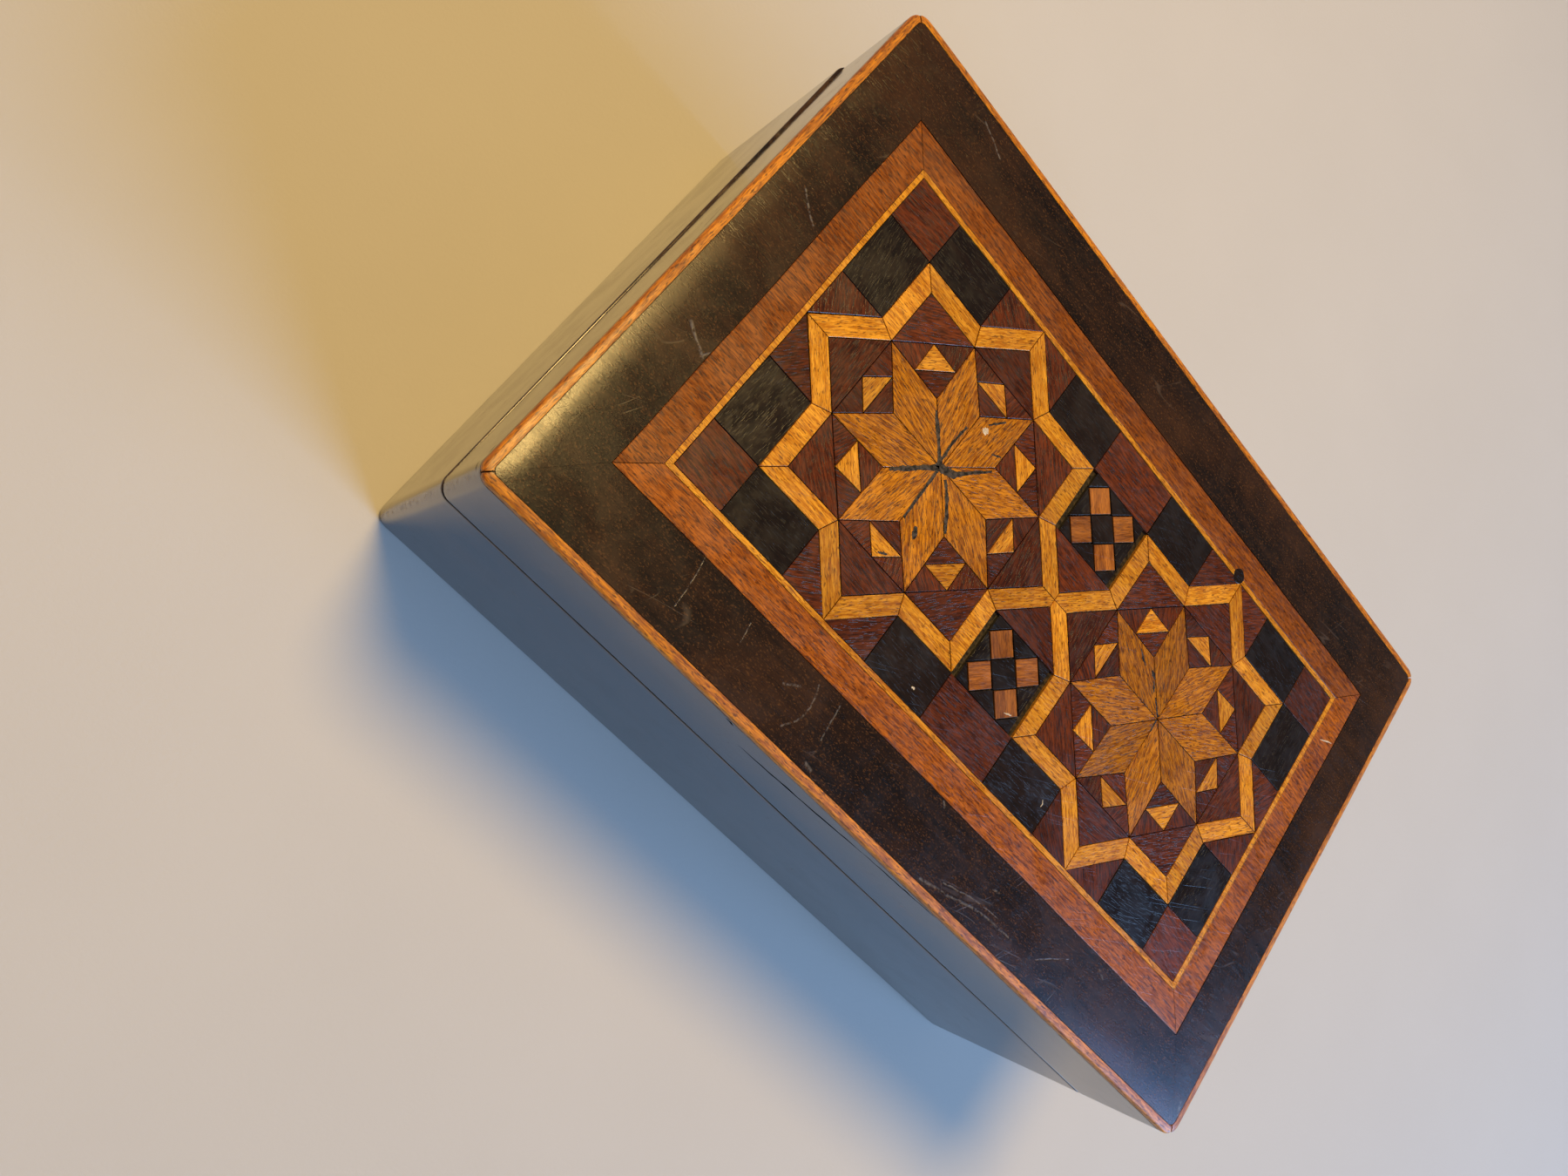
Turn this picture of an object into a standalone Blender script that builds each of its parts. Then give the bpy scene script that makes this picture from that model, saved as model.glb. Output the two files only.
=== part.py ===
"""Wooden puzzle box with a marquetry lid.

The frame's origin is at the centre of the underside, +X runs along the box, +Y to its back
and +Z up. At rest the lid is shut and the lock is off. The lid slides along +X on two runners.
Its lock is a bolt behind the left end wall, lifted by a cam on a slide in the underside.
"""

import math

import bmesh
import bpy

MM = 0.001

# Driving dimensions of the outside
LENGTH = 155 * MM
WIDTH = 100 * MM
HEIGHT = 65 * MM
SEAM_HEIGHT = 44 * MM
CORNER_RADIUS = 2.5 * MM
GAP = 0.3 * MM  # between pieces that touch or slide

# Walls
SKIN = 1.0 * MM  # ebonised veneer on the outside of the walls
BOARD = 7.0 * MM  # thickness of the walls under it
BOTTOM_BOARD = 6.0 * MM
LID_PANEL = 4.7 * MM

# Top veneers, from the arris inwards
VENEER = 1.4 * MM
STRINGING_WIDTH = 1.6 * MM
STRINGING_ROUND = 0.8 * MM
PATTERN_X = 0.6 * MM  # the inlaid panel sits this far off the middle
BANDING_LENGTH = 132.4 * MM
BANDING_WIDTH = 73.2 * MM
BANDING_DEPTH = 4.9 * MM
LINE_DEPTH = 0.6 * MM

# The two eight-pointed medallions
TIP_RADIUS = 30.5 * MM
STRAP_WIDTH = 3.3 * MM
STAR_SIDE = 9.8 * MM  # side of each of a star's eight rhombi

# Ebony plug in the lid
PLUG_X = 28.6 * MM
PLUG_Y = 31.2 * MM
PLUG_RADIUS = 1.35 * MM
PLUG_LENGTH = 4.4 * MM

# Runners under the lid
RUNNER_LENGTH = 36 * MM
RUNNER_CLEAR = 2.0 * MM  # between a runner and the partition when the lid is shut
RUNNER_THICKNESS = 3.5 * MM
RUNNER_DROP = 11 * MM  # below the seam
RUNNER_RISE = 12 * MM  # above the seam
TONGUE_HEIGHT = 2.6 * MM
TONGUE_DEPTH = 2.2 * MM
GROOVE_DEPTH = 2.5 * MM

# Lock, in a narrow compartment behind the left end wall
LOCK_SPACE = 12.4 * MM
PARTITION = 3.0 * MM
COVER = 2.2 * MM
SLIDE_TRAVEL = 12 * MM
BOLT_TRAVEL = 7 * MM
BOLT_DEPTH = 5.0 * MM
BOLT_WIDTH = 9.0 * MM
BOLT_CLEAR = 0.5 * MM  # between the bolt and the end wall
BOLT_LOW = 12 * MM
GUIDE_LOW = 25 * MM
GUIDE_WIDTH = 20 * MM
GUIDE_CHEEK = 2.0 * MM  # thickness of the guide beside the bolt
PIN_HEIGHT = 15 * MM
PIN_RADIUS = 1.0 * MM
PIN_INSET = 2.0 * MM  # from the bolt's outer face to the bottom of the pin's hole
PIN_SIDES = 24
CAM_THICKNESS = 3.0 * MM
CAM_FRONT = 17 * MM  # from the pin to the cam plate's front edge
CAM_BACK = 5 * MM  # and to its back edge
CAM_TOP = 25.5 * MM
CAM_OFFSET = 0.5 * MM  # of the cam plate from the slide's middle
SLIDE_SETBACK = 4.2 * MM  # of the slide's middle from the partition
SLIDE_NARROW = 10 * MM
SLIDE_WIDE = 13 * MM
SLIDE_LENGTH = 40 * MM
LIP = 2.0 * MM  # thickness of the underside's lips that hold the slide
SLIDE_THICKNESS = 2.6 * MM  # of the slide's wide part, above the lips
NAIL_NICK = 0.8 * MM  # radius of the groove for a fingernail
NAIL_NICK_END = 6 * MM  # and its distance from the slide's end

# Levels and faces worked out from these
TOP_SIDE = HEIGHT - VENEER  # underside of the top veneers
SIDE_INSET = SKIN + GAP
WALL_X = LENGTH / 2 - SIDE_INSET - BOARD  # inner face of an end wall
WALL_Y = WIDTH / 2 - SIDE_INSET - BOARD  # inner face of a long wall
BASE_TOP = SEAM_HEIGHT - GAP / 2
LID_LOW = SEAM_HEIGHT + GAP / 2
PANEL_TOP = TOP_SIDE - GAP
PANEL_LOW = PANEL_TOP - LID_PANEL
FIELD_X = BANDING_LENGTH / 2 - BANDING_DEPTH - LINE_DEPTH - 2 * GAP
FIELD_Y = BANDING_WIDTH / 2 - BANDING_DEPTH - LINE_DEPTH - 2 * GAP
MEDALLION_X = FIELD_X - TIP_RADIUS - GAP
TONGUE_LOW = SEAM_HEIGHT - RUNNER_DROP
PARTITION_X = -WALL_X + LOCK_SPACE
RUNNER_X = PARTITION_X + PARTITION + RUNNER_CLEAR
BOLT_X = -WALL_X + BOLT_CLEAR
SLIDE_X = PARTITION_X - SLIDE_SETBACK
CAM_X = SLIDE_X + CAM_OFFSET

SIDES = {"front": 0, "right": 1, "back": 2, "left": 3}  # quarter turns about +Z
ROOT_HALF = math.sqrt(0.5)

# Name: colour, roughness, metallic
FINISHES = {
    "ebonised": ((0.020, 0.015, 0.011), 0.18, 0.0),
    "ebony": ((0.024, 0.018, 0.014), 0.30, 0.0),
    "boxwood": ((0.58, 0.30, 0.07), 0.32, 0.0),
    "satinwood": ((0.36, 0.14, 0.03), 0.34, 0.0),
    "mahogany": ((0.15, 0.055, 0.022), 0.36, 0.0),
    "carcase": ((0.36, 0.21, 0.10), 0.60, 0.0),
    "brass": ((0.78, 0.55, 0.22), 0.30, 1.0),
}


def new_collection(name):
    made = bpy.data.collections.new(name)
    bpy.context.scene.collection.children.link(made)
    return made


def new_material(name):
    colour, roughness, metallic = FINISHES[name]
    made = bpy.data.materials.new(name)
    made.use_nodes = True
    shader = made.node_tree.nodes["Principled BSDF"]
    shader.inputs["Base Color"].default_value = (*colour, 1.0)
    shader.inputs["Roughness"].default_value = roughness
    shader.inputs["Metallic"].default_value = metallic
    return made


def new_axis(name, place):
    """An empty on a joint's axis, which the joint's pieces hang from."""
    axis = bpy.data.objects.new(name, None)
    axis.location = place
    axis.empty_display_size = 10 * MM
    PARTS.objects.link(axis)
    bpy.context.view_layer.update()
    return axis


def finish_part(part, name, finish, axis=None):
    """Names a piece, gives it its material and collection, and hangs it on its axis."""
    part.name = name
    part.data.name = name
    part.data.materials.clear()
    part.data.materials.append(MATERIALS[finish])
    for collection in part.users_collection:
        collection.objects.unlink(part)
    PARTS.objects.link(part)
    if axis:
        part.parent = axis
        part.matrix_parent_inverse = axis.matrix_world.inverted()
    return part


def block(low, high):
    """A plain cuboid between two opposite corners."""
    size = [b - a for a, b in zip(low, high)]
    middle = [(a + b) / 2 for a, b in zip(low, high)]
    bpy.ops.mesh.primitive_cube_add(size=1, location=middle)
    made = bpy.context.active_object
    made.scale = size
    bpy.ops.object.transform_apply(location=False, rotation=False, scale=True)
    return made


def rod(radius, length, middle, sides=32):
    bpy.ops.mesh.primitive_cylinder_add(vertices=sides, radius=radius, depth=length, location=middle)
    made = bpy.context.active_object
    made.data.shade_smooth()
    made.data.set_sharp_from_angle(angle=math.radians(40))
    return made


def plate(outlines, low, high):
    """A flat piece with the given outlines in plan, the first its edge and the others its holes."""
    curve = bpy.data.curves.new("outline", "CURVE")
    curve.dimensions = "2D"
    curve.fill_mode = "BOTH"
    curve.extrude = (high - low) / 2
    for outline in outlines:
        spline = curve.splines.new("POLY")
        spline.points.add(len(outline) - 1)
        for point, (x, y) in zip(spline.points, outline):
            point.co = (x, y, 0, 1)
        spline.use_cyclic_u = True
    made = bpy.data.objects.new("plate", curve)
    made.location = (0, 0, (low + high) / 2)
    bpy.context.scene.collection.objects.link(made)
    return to_mesh(made)


def to_mesh(curve_object):
    """The curve's solid as a mesh with its caps welded on."""
    bpy.context.view_layer.update()
    evaluated = curve_object.evaluated_get(bpy.context.evaluated_depsgraph_get())
    mesh = bpy.data.meshes.new_from_object(evaluated)
    shape = bmesh.new()
    shape.from_mesh(mesh)
    bmesh.ops.remove_doubles(shape, verts=shape.verts, dist=0.001 * MM)
    shape.to_mesh(mesh)
    shape.free()
    made = bpy.data.objects.new("plate", mesh)
    made.matrix_world = curve_object.matrix_world
    bpy.context.scene.collection.objects.link(made)
    bpy.data.objects.remove(curve_object)
    return made


def cut(part, cutter):
    """Takes the cutter's shape out of the piece."""
    combine(part, cutter, "DIFFERENCE")


def combine(part, cutter, operation):
    """Cuts the second shape out of the piece, or joins it on."""
    if cutter.name not in CUTTERS.objects:
        for collection in cutter.users_collection:
            collection.objects.unlink(cutter)
        CUTTERS.objects.link(cutter)
        cutter.hide_render = True
        cutter.display_type = "WIRE"
    modifier = part.modifiers.new(operation.lower(), "BOOLEAN")
    modifier.operation = operation
    modifier.solver = "EXACT"
    modifier.object = cutter


def mitred_outline(length, depth, radius):
    """One side of a mitred frame in plan: outer face on y = 0, mitred at both ends.

    The outer corners are rounded, and each mitre stands back half a gap.
    """
    back = GAP * ROOT_HALF
    half = length / 2
    right = [(half - back - depth, depth)]
    if radius:
        lost = math.asin(GAP / 2 / radius)
        steps = 6
        for step in range(steps + 1):
            angle = math.radians(-45) - lost + (math.radians(-45) + lost) * step / steps
            right.append((half - radius + radius * math.cos(angle), radius + radius * math.sin(angle)))
    else:
        right.append((half - back, 0))
    left = [(-x, y) for x, y in reversed(right)]
    return right + left


def turn_to_side(part, side, length, width, middle_x=0.0):
    """Moves a strip from the X axis to its side of a frame of this length and width."""
    turn = SIDES[side] * math.pi / 2
    distance = (width if side in ("front", "back") else length) / 2
    part.rotation_euler.z = turn
    part.location.x = middle_x + distance * math.sin(turn)
    part.location.y = -distance * math.cos(turn)


def mitred_frame(prefix, finish, size, depth, levels, radius=0.0, middle_x=0.0, axis=None):
    """Four mitred strips round a rectangle, by side."""
    made = {}
    for side in SIDES:
        length = size[0] if side in ("front", "back") else size[1]
        strip = plate([mitred_outline(length, depth, radius)], *levels)
        turn_to_side(strip, side, *size, middle_x)
        bpy.context.view_layer.update()
        made[side] = finish_part(strip, f"{prefix}_{side}", finish, axis)
    return made


def octagram(middle_x, tip_radius):
    """The eight-pointed outline of two crossed squares, one level and one on its corner."""
    half_square = tip_radius * ROOT_HALF
    notch = math.hypot(half_square, tip_radius - half_square)
    points = []
    for step in range(16):
        radius = tip_radius if step % 2 == 0 else notch
        angle = math.pi * step / 8
        points.append((middle_x + radius * math.cos(angle), radius * math.sin(angle)))
    return points


def rhombus_star(middle_x, side, grown=0.0):
    """The outline of eight rhombi about one point, grown outwards by a margin."""
    tip = 2 * side * math.cos(math.pi / 8) + grown / math.sin(math.pi / 8)
    notch = side + grown / math.sin(math.pi / 4)
    points = []
    for step in range(16):
        radius = notch if step % 2 == 0 else tip
        angle = math.pi * step / 8
        points.append((middle_x + radius * math.cos(angle), radius * math.sin(angle)))
    return points


def mirrored(outline, flip_x, flip_y):
    """The outline, mirrored about the pattern's middle where asked."""
    return [
        (PATTERN_X + (-x if flip_x else x), -y if flip_y else y)
        for x, y in outline
    ]


def carcase():
    """The base's walls, its ebonised skin and its bottom."""
    inner = (LENGTH - 2 * SIDE_INSET, WIDTH - 2 * SIDE_INSET)
    walls = mitred_frame("base_board", "carcase", inner, BOARD, (0, BASE_TOP))
    for side, facing in (("front", -1), ("back", 1)):
        low, high = sorted((facing * (WALL_Y - MM), facing * (WALL_Y + GROOVE_DEPTH)))
        groove_end = WALL_X - GAP
        cutter = block(
            (PARTITION_X + PARTITION + GAP, low, TONGUE_LOW - GAP),
            (groove_end, high, TONGUE_LOW + TONGUE_HEIGHT + GAP),
        )
        cutter.name = f"groove_{side}"
        cut(walls[side], cutter)
    mitred_frame(
        "base_veneer", "ebonised", (LENGTH, WIDTH), SKIN, (GAP, BASE_TOP), CORNER_RADIUS
    )
    bottom = block(
        (-WALL_X + GAP, -WALL_Y + GAP, 0), (WALL_X - GAP, WALL_Y - GAP, BOTTOM_BOARD)
    )
    finish_part(bottom, "bottom_board", "carcase")
    for cutter in slide_cutters():
        cut(bottom, cutter)


def slide_cutters():
    """The space in the bottom board for the secret slide, its cam plate and their travel."""
    front = -SLIDE_LENGTH / 2 - GAP
    back = SLIDE_LENGTH / 2 + SLIDE_TRAVEL + GAP
    wide_top = LIP + SLIDE_THICKNESS + 2 * GAP
    narrow = block(
        (SLIDE_X - SLIDE_NARROW / 2 - GAP, front, -MM),
        (SLIDE_X + SLIDE_NARROW / 2 + GAP, back, LIP + GAP),
    )
    narrow.name = "slide_mouth"
    wide = block(
        (SLIDE_X - SLIDE_WIDE / 2 - GAP, front, LIP),
        (SLIDE_X + SLIDE_WIDE / 2 + GAP, back, wide_top),
    )
    wide.name = "slide_way"
    slot = block(
        (CAM_X - GAP, -CAM_FRONT - GAP, LIP + GAP),
        (CAM_X + CAM_THICKNESS + GAP, CAM_BACK + SLIDE_TRAVEL + GAP, BOTTOM_BOARD + MM),
    )
    slot.name = "cam_slot"
    return narrow, wide, slot


def lock_compartment():
    """The partition, cover and bolt guide that hide and hold the lock."""
    low_y, high_y = -WALL_Y + GAP, WALL_Y - GAP
    low_z = BOTTOM_BOARD + GAP
    partition = block(
        (PARTITION_X, low_y, low_z), (PARTITION_X + PARTITION, high_y, BASE_TOP)
    )
    finish_part(partition, "partition", "carcase")
    cover = block(
        (-WALL_X + GAP, low_y, BASE_TOP - COVER), (PARTITION_X - GAP, high_y, BASE_TOP)
    )
    finish_part(cover, "lock_cover", "carcase")
    way = block(
        (BOLT_X - MM, -BOLT_WIDTH / 2 - GAP, GUIDE_LOW - MM),
        (BOLT_X + BOLT_DEPTH + GAP, BOLT_WIDTH / 2 + GAP, BASE_TOP + MM),
    )
    way.name = "bolt_way"
    cut(cover, way)
    guide = block(
        (-WALL_X + GAP, -GUIDE_WIDTH / 2, GUIDE_LOW),
        (BOLT_X + BOLT_DEPTH + GUIDE_CHEEK, GUIDE_WIDTH / 2, BASE_TOP - COVER - GAP),
    )
    finish_part(guide, "bolt_guide", "carcase")
    cut(guide, way)


def lock_bolt():
    """The bolt and the brass pin that the cam lifts it by."""
    axis = new_axis("bolt_lift_axis", (BOLT_X + BOLT_DEPTH / 2, 0, PIN_HEIGHT))
    bolt = block(
        (BOLT_X, -BOLT_WIDTH / 2, BOLT_LOW),
        (BOLT_X + BOLT_DEPTH, BOLT_WIDTH / 2, BASE_TOP - GAP),
    )
    finish_part(bolt, "lock_bolt", "mahogany", axis)
    hole_start = BOLT_X + PIN_INSET
    pin_start = hole_start + GAP
    pin_end = CAM_X + CAM_THICKNESS
    hole_length = pin_end - hole_start
    hole = rod(PIN_RADIUS + GAP, hole_length, (hole_start + hole_length / 2, 0, PIN_HEIGHT), PIN_SIDES)
    hole.name = "pin_hole"
    hole.rotation_euler.y = math.pi / 2
    cut(bolt, hole)
    pin = rod(PIN_RADIUS, pin_end - pin_start, ((pin_start + pin_end) / 2, 0, PIN_HEIGHT), PIN_SIDES)
    pin.rotation_euler.y = math.pi / 2
    bpy.context.view_layer.update()
    finish_part(pin, "bolt_pin", "brass", axis)


def secret_slide():
    """The slide in the underside, and the cam plate on it whose slanting slot lifts the pin."""
    axis = new_axis("secret_slide_axis", (SLIDE_X, 0, LIP))
    slide = block(
        (SLIDE_X - SLIDE_WIDE / 2, -SLIDE_LENGTH / 2, LIP + GAP),
        (SLIDE_X + SLIDE_WIDE / 2, SLIDE_LENGTH / 2, LIP + GAP + SLIDE_THICKNESS),
    )
    finish_part(slide, "secret_slide", "carcase", axis)
    tread = block(
        (SLIDE_X - SLIDE_NARROW / 2, -SLIDE_LENGTH / 2, GAP),
        (SLIDE_X + SLIDE_NARROW / 2, SLIDE_LENGTH / 2, LIP + GAP + SLIDE_THICKNESS / 2),
    )
    tread.name = "slide_tread"
    combine(slide, tread, "UNION")
    nick = rod(NAIL_NICK, SLIDE_NARROW / 2, (SLIDE_X, SLIDE_LENGTH / 2 - NAIL_NICK_END, GAP), PIN_SIDES)
    nick.name = "nail_nick"
    nick.rotation_euler.y = math.pi / 2
    cut(slide, nick)
    cam_plate(axis)


def cam_plate(axis):
    """The hardwood plate that stands on the slide, with the slanting slot for the pin."""
    low_z = LIP + SLIDE_THICKNESS + 2 * GAP
    plate_body = block((CAM_X, -CAM_FRONT, low_z), (CAM_X + CAM_THICKNESS, CAM_BACK, CAM_TOP))
    finish_part(plate_body, "cam_plate", "mahogany", axis)
    half_slot = PIN_RADIUS + GAP
    ends = ((0, PIN_HEIGHT), (-SLIDE_TRAVEL, PIN_HEIGHT + BOLT_TRAVEL))
    slope = math.atan2(BOLT_TRAVEL, SLIDE_TRAVEL)
    run = math.hypot(SLIDE_TRAVEL, BOLT_TRAVEL)
    middle = [(a + b) / 2 for a, b in zip(*ends)]
    reach = CAM_THICKNESS
    slot = block((-reach, -run / 2 - half_slot, -half_slot), (reach, run / 2 + half_slot, half_slot))
    slot.name = "cam_slant"
    slot.rotation_euler.x = -slope
    slot.location = (CAM_X + CAM_THICKNESS / 2, *middle)
    cut(plate_body, slot)


def lid_body(axis):
    """The lid's walls, skin and panel. Returns the panel."""
    inner = (LENGTH - 2 * SIDE_INSET, WIDTH - 2 * SIDE_INSET)
    mitred_frame("lid_rail", "carcase", inner, BOARD, (LID_LOW, PANEL_LOW - GAP), axis=axis)
    mitred_frame(
        "lid_veneer", "ebonised", (LENGTH, WIDTH), SKIN, (LID_LOW, PANEL_TOP), CORNER_RADIUS, axis=axis
    )
    panel = block(
        (-inner[0] / 2, -inner[1] / 2, PANEL_LOW), (inner[0] / 2, inner[1] / 2, PANEL_TOP)
    )
    return finish_part(panel, "lid_panel", "carcase", axis)


def stringing(axis):
    """The boxwood line let in along the lid's top arris, its outer edge rounded over."""
    strips = mitred_frame(
        "stringing", "boxwood", (LENGTH, WIDTH), STRINGING_WIDTH, (TOP_SIDE, HEIGHT), CORNER_RADIUS,
        axis=axis,
    )
    for strip in strips.values():
        shape = bmesh.new()
        shape.from_mesh(strip.data)
        top = max(v.co.z for v in shape.verts)
        inner = max(v.co.y for v in shape.verts)
        edges = [
            edge
            for edge in shape.edges
            if all(v.co.z == top and v.co.y < inner for v in edge.verts)
            and any(abs(face.normal.z) < 0.5 for face in edge.link_faces)
        ]
        bmesh.ops.bevel(
            shape, geom=edges, offset=STRINGING_ROUND, segments=3, affect="EDGES", profile=0.5
        )
        shape.to_mesh(strip.data)
        shape.free()


def border(axis):
    """The four dark strips between the stringing and the inlaid panel."""
    edge = STRINGING_WIDTH + GAP
    out_x, out_y = LENGTH / 2 - edge, WIDTH / 2 - edge
    in_y = BANDING_WIDTH / 2 + GAP
    left_x = PATTERN_X - BANDING_LENGTH / 2 - GAP
    right_x = PATTERN_X + BANDING_LENGTH / 2 + GAP
    spans = {
        "front": ((-out_x, -out_y), (out_x, -in_y)),
        "back": ((-out_x, in_y), (out_x, out_y)),
        "left": ((-out_x, -in_y + GAP), (left_x, in_y - GAP)),
        "right": ((right_x, -in_y + GAP), (out_x, in_y - GAP)),
    }
    for side, (low, high) in spans.items():
        strip = block((*low, TOP_SIDE), (*high, HEIGHT))
        finish_part(strip, f"border_{side}", "ebonised", axis)


def banding_and_line(axis):
    """The orange banding round the panel and the light line inside it. Returns the back banding."""
    levels = (TOP_SIDE, HEIGHT)
    banding = mitred_frame(
        "banding", "satinwood", (BANDING_LENGTH, BANDING_WIDTH), BANDING_DEPTH, levels,
        middle_x=PATTERN_X, axis=axis,
    )
    size = [side - 2 * (BANDING_DEPTH + GAP) for side in (BANDING_LENGTH, BANDING_WIDTH)]
    line = mitred_frame(
        "light_line", "boxwood", size, LINE_DEPTH, levels, middle_x=PATTERN_X, axis=axis
    )
    bpy.data.objects.remove(line["back"])
    high_y = size[1] / 2
    clear = PLUG_RADIUS + GAP
    spans = {
        "left": (PATTERN_X - size[0] / 2 + LINE_DEPTH + GAP, PLUG_X - clear),
        "right": (PLUG_X + clear, PATTERN_X + size[0] / 2 - LINE_DEPTH - GAP),
    }
    for end, (low_x, high_x) in spans.items():
        strip = block((low_x, high_y - LINE_DEPTH, TOP_SIDE), (high_x, high_y, HEIGHT))
        finish_part(strip, f"light_line_back_{end}", "boxwood", axis)
    return banding["back"]


def medallion(name, middle_x, trim_sign, axis):
    """One medallion: its strapwork, its star and the ground between. Returns the strapwork.

    Its tip towards the other medallion is trimmed where the two meet.
    """
    levels = (TOP_SIDE, HEIGHT)
    outer = octagram(middle_x, TIP_RADIUS)
    trim_x = PATTERN_X - trim_sign * GAP / 2
    tip_x = middle_x + trim_sign * TIP_RADIUS
    half_trim = abs(tip_x - trim_x)
    trimmed = []
    for x, y in outer:
        if abs(x - tip_x) < GAP / 10:
            ends = [(trim_x, -half_trim), (trim_x, half_trim)]
            trimmed += ends if trim_sign > 0 else ends[::-1]
        else:
            trimmed.append((x, y))
    inner_radius = TIP_RADIUS - STRAP_WIDTH / ROOT_HALF
    strap = plate([trimmed, octagram(middle_x, inner_radius)], *levels)
    finish_part(strap, f"strapwork_{name}", "boxwood", axis)
    ground_radius = inner_radius - GAP / ROOT_HALF
    ground = plate(
        [octagram(middle_x, ground_radius), rhombus_star(middle_x, STAR_SIDE, GAP)], *levels
    )
    finish_part(ground, f"star_ground_{name}", "mahogany", axis)
    star = plate([rhombus_star(middle_x, STAR_SIDE)], *levels)
    finish_part(star, f"star_{name}", "boxwood", axis)
    return strap


def field(axis):
    """The chequered ground round the medallions. Returns the back middle piece."""
    reach = TIP_RADIUS + GAP / ROOT_HALF  # tip radius of the strapwork, with its gap
    square = reach * ROOT_HALF
    notch = reach - square
    corner = [
        (-FIELD_X, max(reach - (FIELD_X - MEDALLION_X), GAP / 2)),
        (-MEDALLION_X - square, notch),
        (-MEDALLION_X - square, square),
        (-MEDALLION_X - notch, square),
        (-MEDALLION_X - (reach - FIELD_Y), FIELD_Y),
        (-FIELD_X, FIELD_Y),
    ]
    strip = [
        (-MEDALLION_X + (reach - FIELD_Y), FIELD_Y),
        (-MEDALLION_X + notch, square + GAP),
        (MEDALLION_X - notch, square + GAP),
        (MEDALLION_X - (reach - FIELD_Y), FIELD_Y),
    ]
    half_chequer = MEDALLION_X - square
    chequer = [
        (-half_chequer, square),
        (-half_chequer, notch),
        (0, reach - MEDALLION_X),
        (half_chequer, notch),
        (half_chequer, square),
    ]
    levels = (TOP_SIDE, HEIGHT)
    made = {}
    for side, flip_y in (("back", False), ("front", True)):
        for end, flip_x in (("left", False), ("right", True)):
            piece = plate([mirrored(corner, flip_x, flip_y)], *levels)
            finish_part(piece, f"field_{side}_{end}", "ebony", axis)
        made[side] = plate([mirrored(strip, False, flip_y)], *levels)
        finish_part(made[side], f"field_{side}_middle", "ebony", axis)
        piece = plate([mirrored(chequer, False, flip_y)], *levels)
        finish_part(piece, f"chequer_{side}", "ebony", axis)
    return made["back"]


def plug(axis, drilled):
    """The ebony plug, and its hole in the pieces that it goes through."""
    high = HEIGHT - GAP / 3
    peg = rod(PLUG_RADIUS, PLUG_LENGTH, (PLUG_X, PLUG_Y, high - PLUG_LENGTH / 2))
    finish_part(peg, "ebony_plug", "ebony", axis)
    depth = PLUG_LENGTH + GAP
    hole = rod(PLUG_RADIUS + GAP, depth + MM, (PLUG_X, PLUG_Y, high - depth + (depth + MM) / 2))
    hole.name = "plug_hole"
    for part in drilled:
        cut(part, hole)


def runner(side, facing, axis):
    """A batten inside the lid's rail, with the tongue that rides in the base's groove."""
    outer = WALL_Y - GAP
    outline = [
        (outer, TONGUE_LOW),
        (outer + TONGUE_DEPTH, TONGUE_LOW),
        (outer + TONGUE_DEPTH, TONGUE_LOW + TONGUE_HEIGHT),
        (outer, TONGUE_LOW + TONGUE_HEIGHT),
        (outer, SEAM_HEIGHT + RUNNER_RISE),
        (outer - RUNNER_THICKNESS, SEAM_HEIGHT + RUNNER_RISE),
        (outer - RUNNER_THICKNESS, TONGUE_LOW),
    ]
    if facing < 0:
        outline = [(-y, z) for y, z in reversed(outline)]
    batten = plate([outline], -RUNNER_LENGTH / 2, RUNNER_LENGTH / 2)
    batten.rotation_euler = (math.pi / 2, 0, math.pi / 2)
    batten.location = (RUNNER_X + RUNNER_LENGTH / 2, 0, 0)
    bpy.context.view_layer.update()
    finish_part(batten, f"runner_{side}", "mahogany", axis)


def lid():
    axis = new_axis("lid_slide_axis", (0, 0, SEAM_HEIGHT))
    panel = lid_body(axis)
    stringing(axis)
    border(axis)
    back_banding = banding_and_line(axis)
    medallion("left", PATTERN_X - MEDALLION_X, 1, axis)
    right_strap = medallion("right", PATTERN_X + MEDALLION_X, -1, axis)
    back_field = field(axis)
    plug(axis, (panel, back_banding, right_strap, back_field))
    runner("front", -1, axis)
    runner("back", 1, axis)


for old in list(bpy.data.objects):
    bpy.data.objects.remove(old)
PARTS = new_collection("wooden_puzzle_box")
CUTTERS = new_collection("cutters")
MATERIALS = {name: new_material(name) for name in FINISHES}
carcase()
lock_compartment()
lock_bolt()
secret_slide()
lid()
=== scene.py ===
"""Looks of the wooden puzzle box: a lid of hand-cut marquetry veneers over ebonised, polished walls.

Lengths are in millimetres until a point becomes a vertex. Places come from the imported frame.
"""

import math
import random
from collections import namedtuple

import bmesh
import bpy
from mathutils import Matrix, Vector, noise


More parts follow.
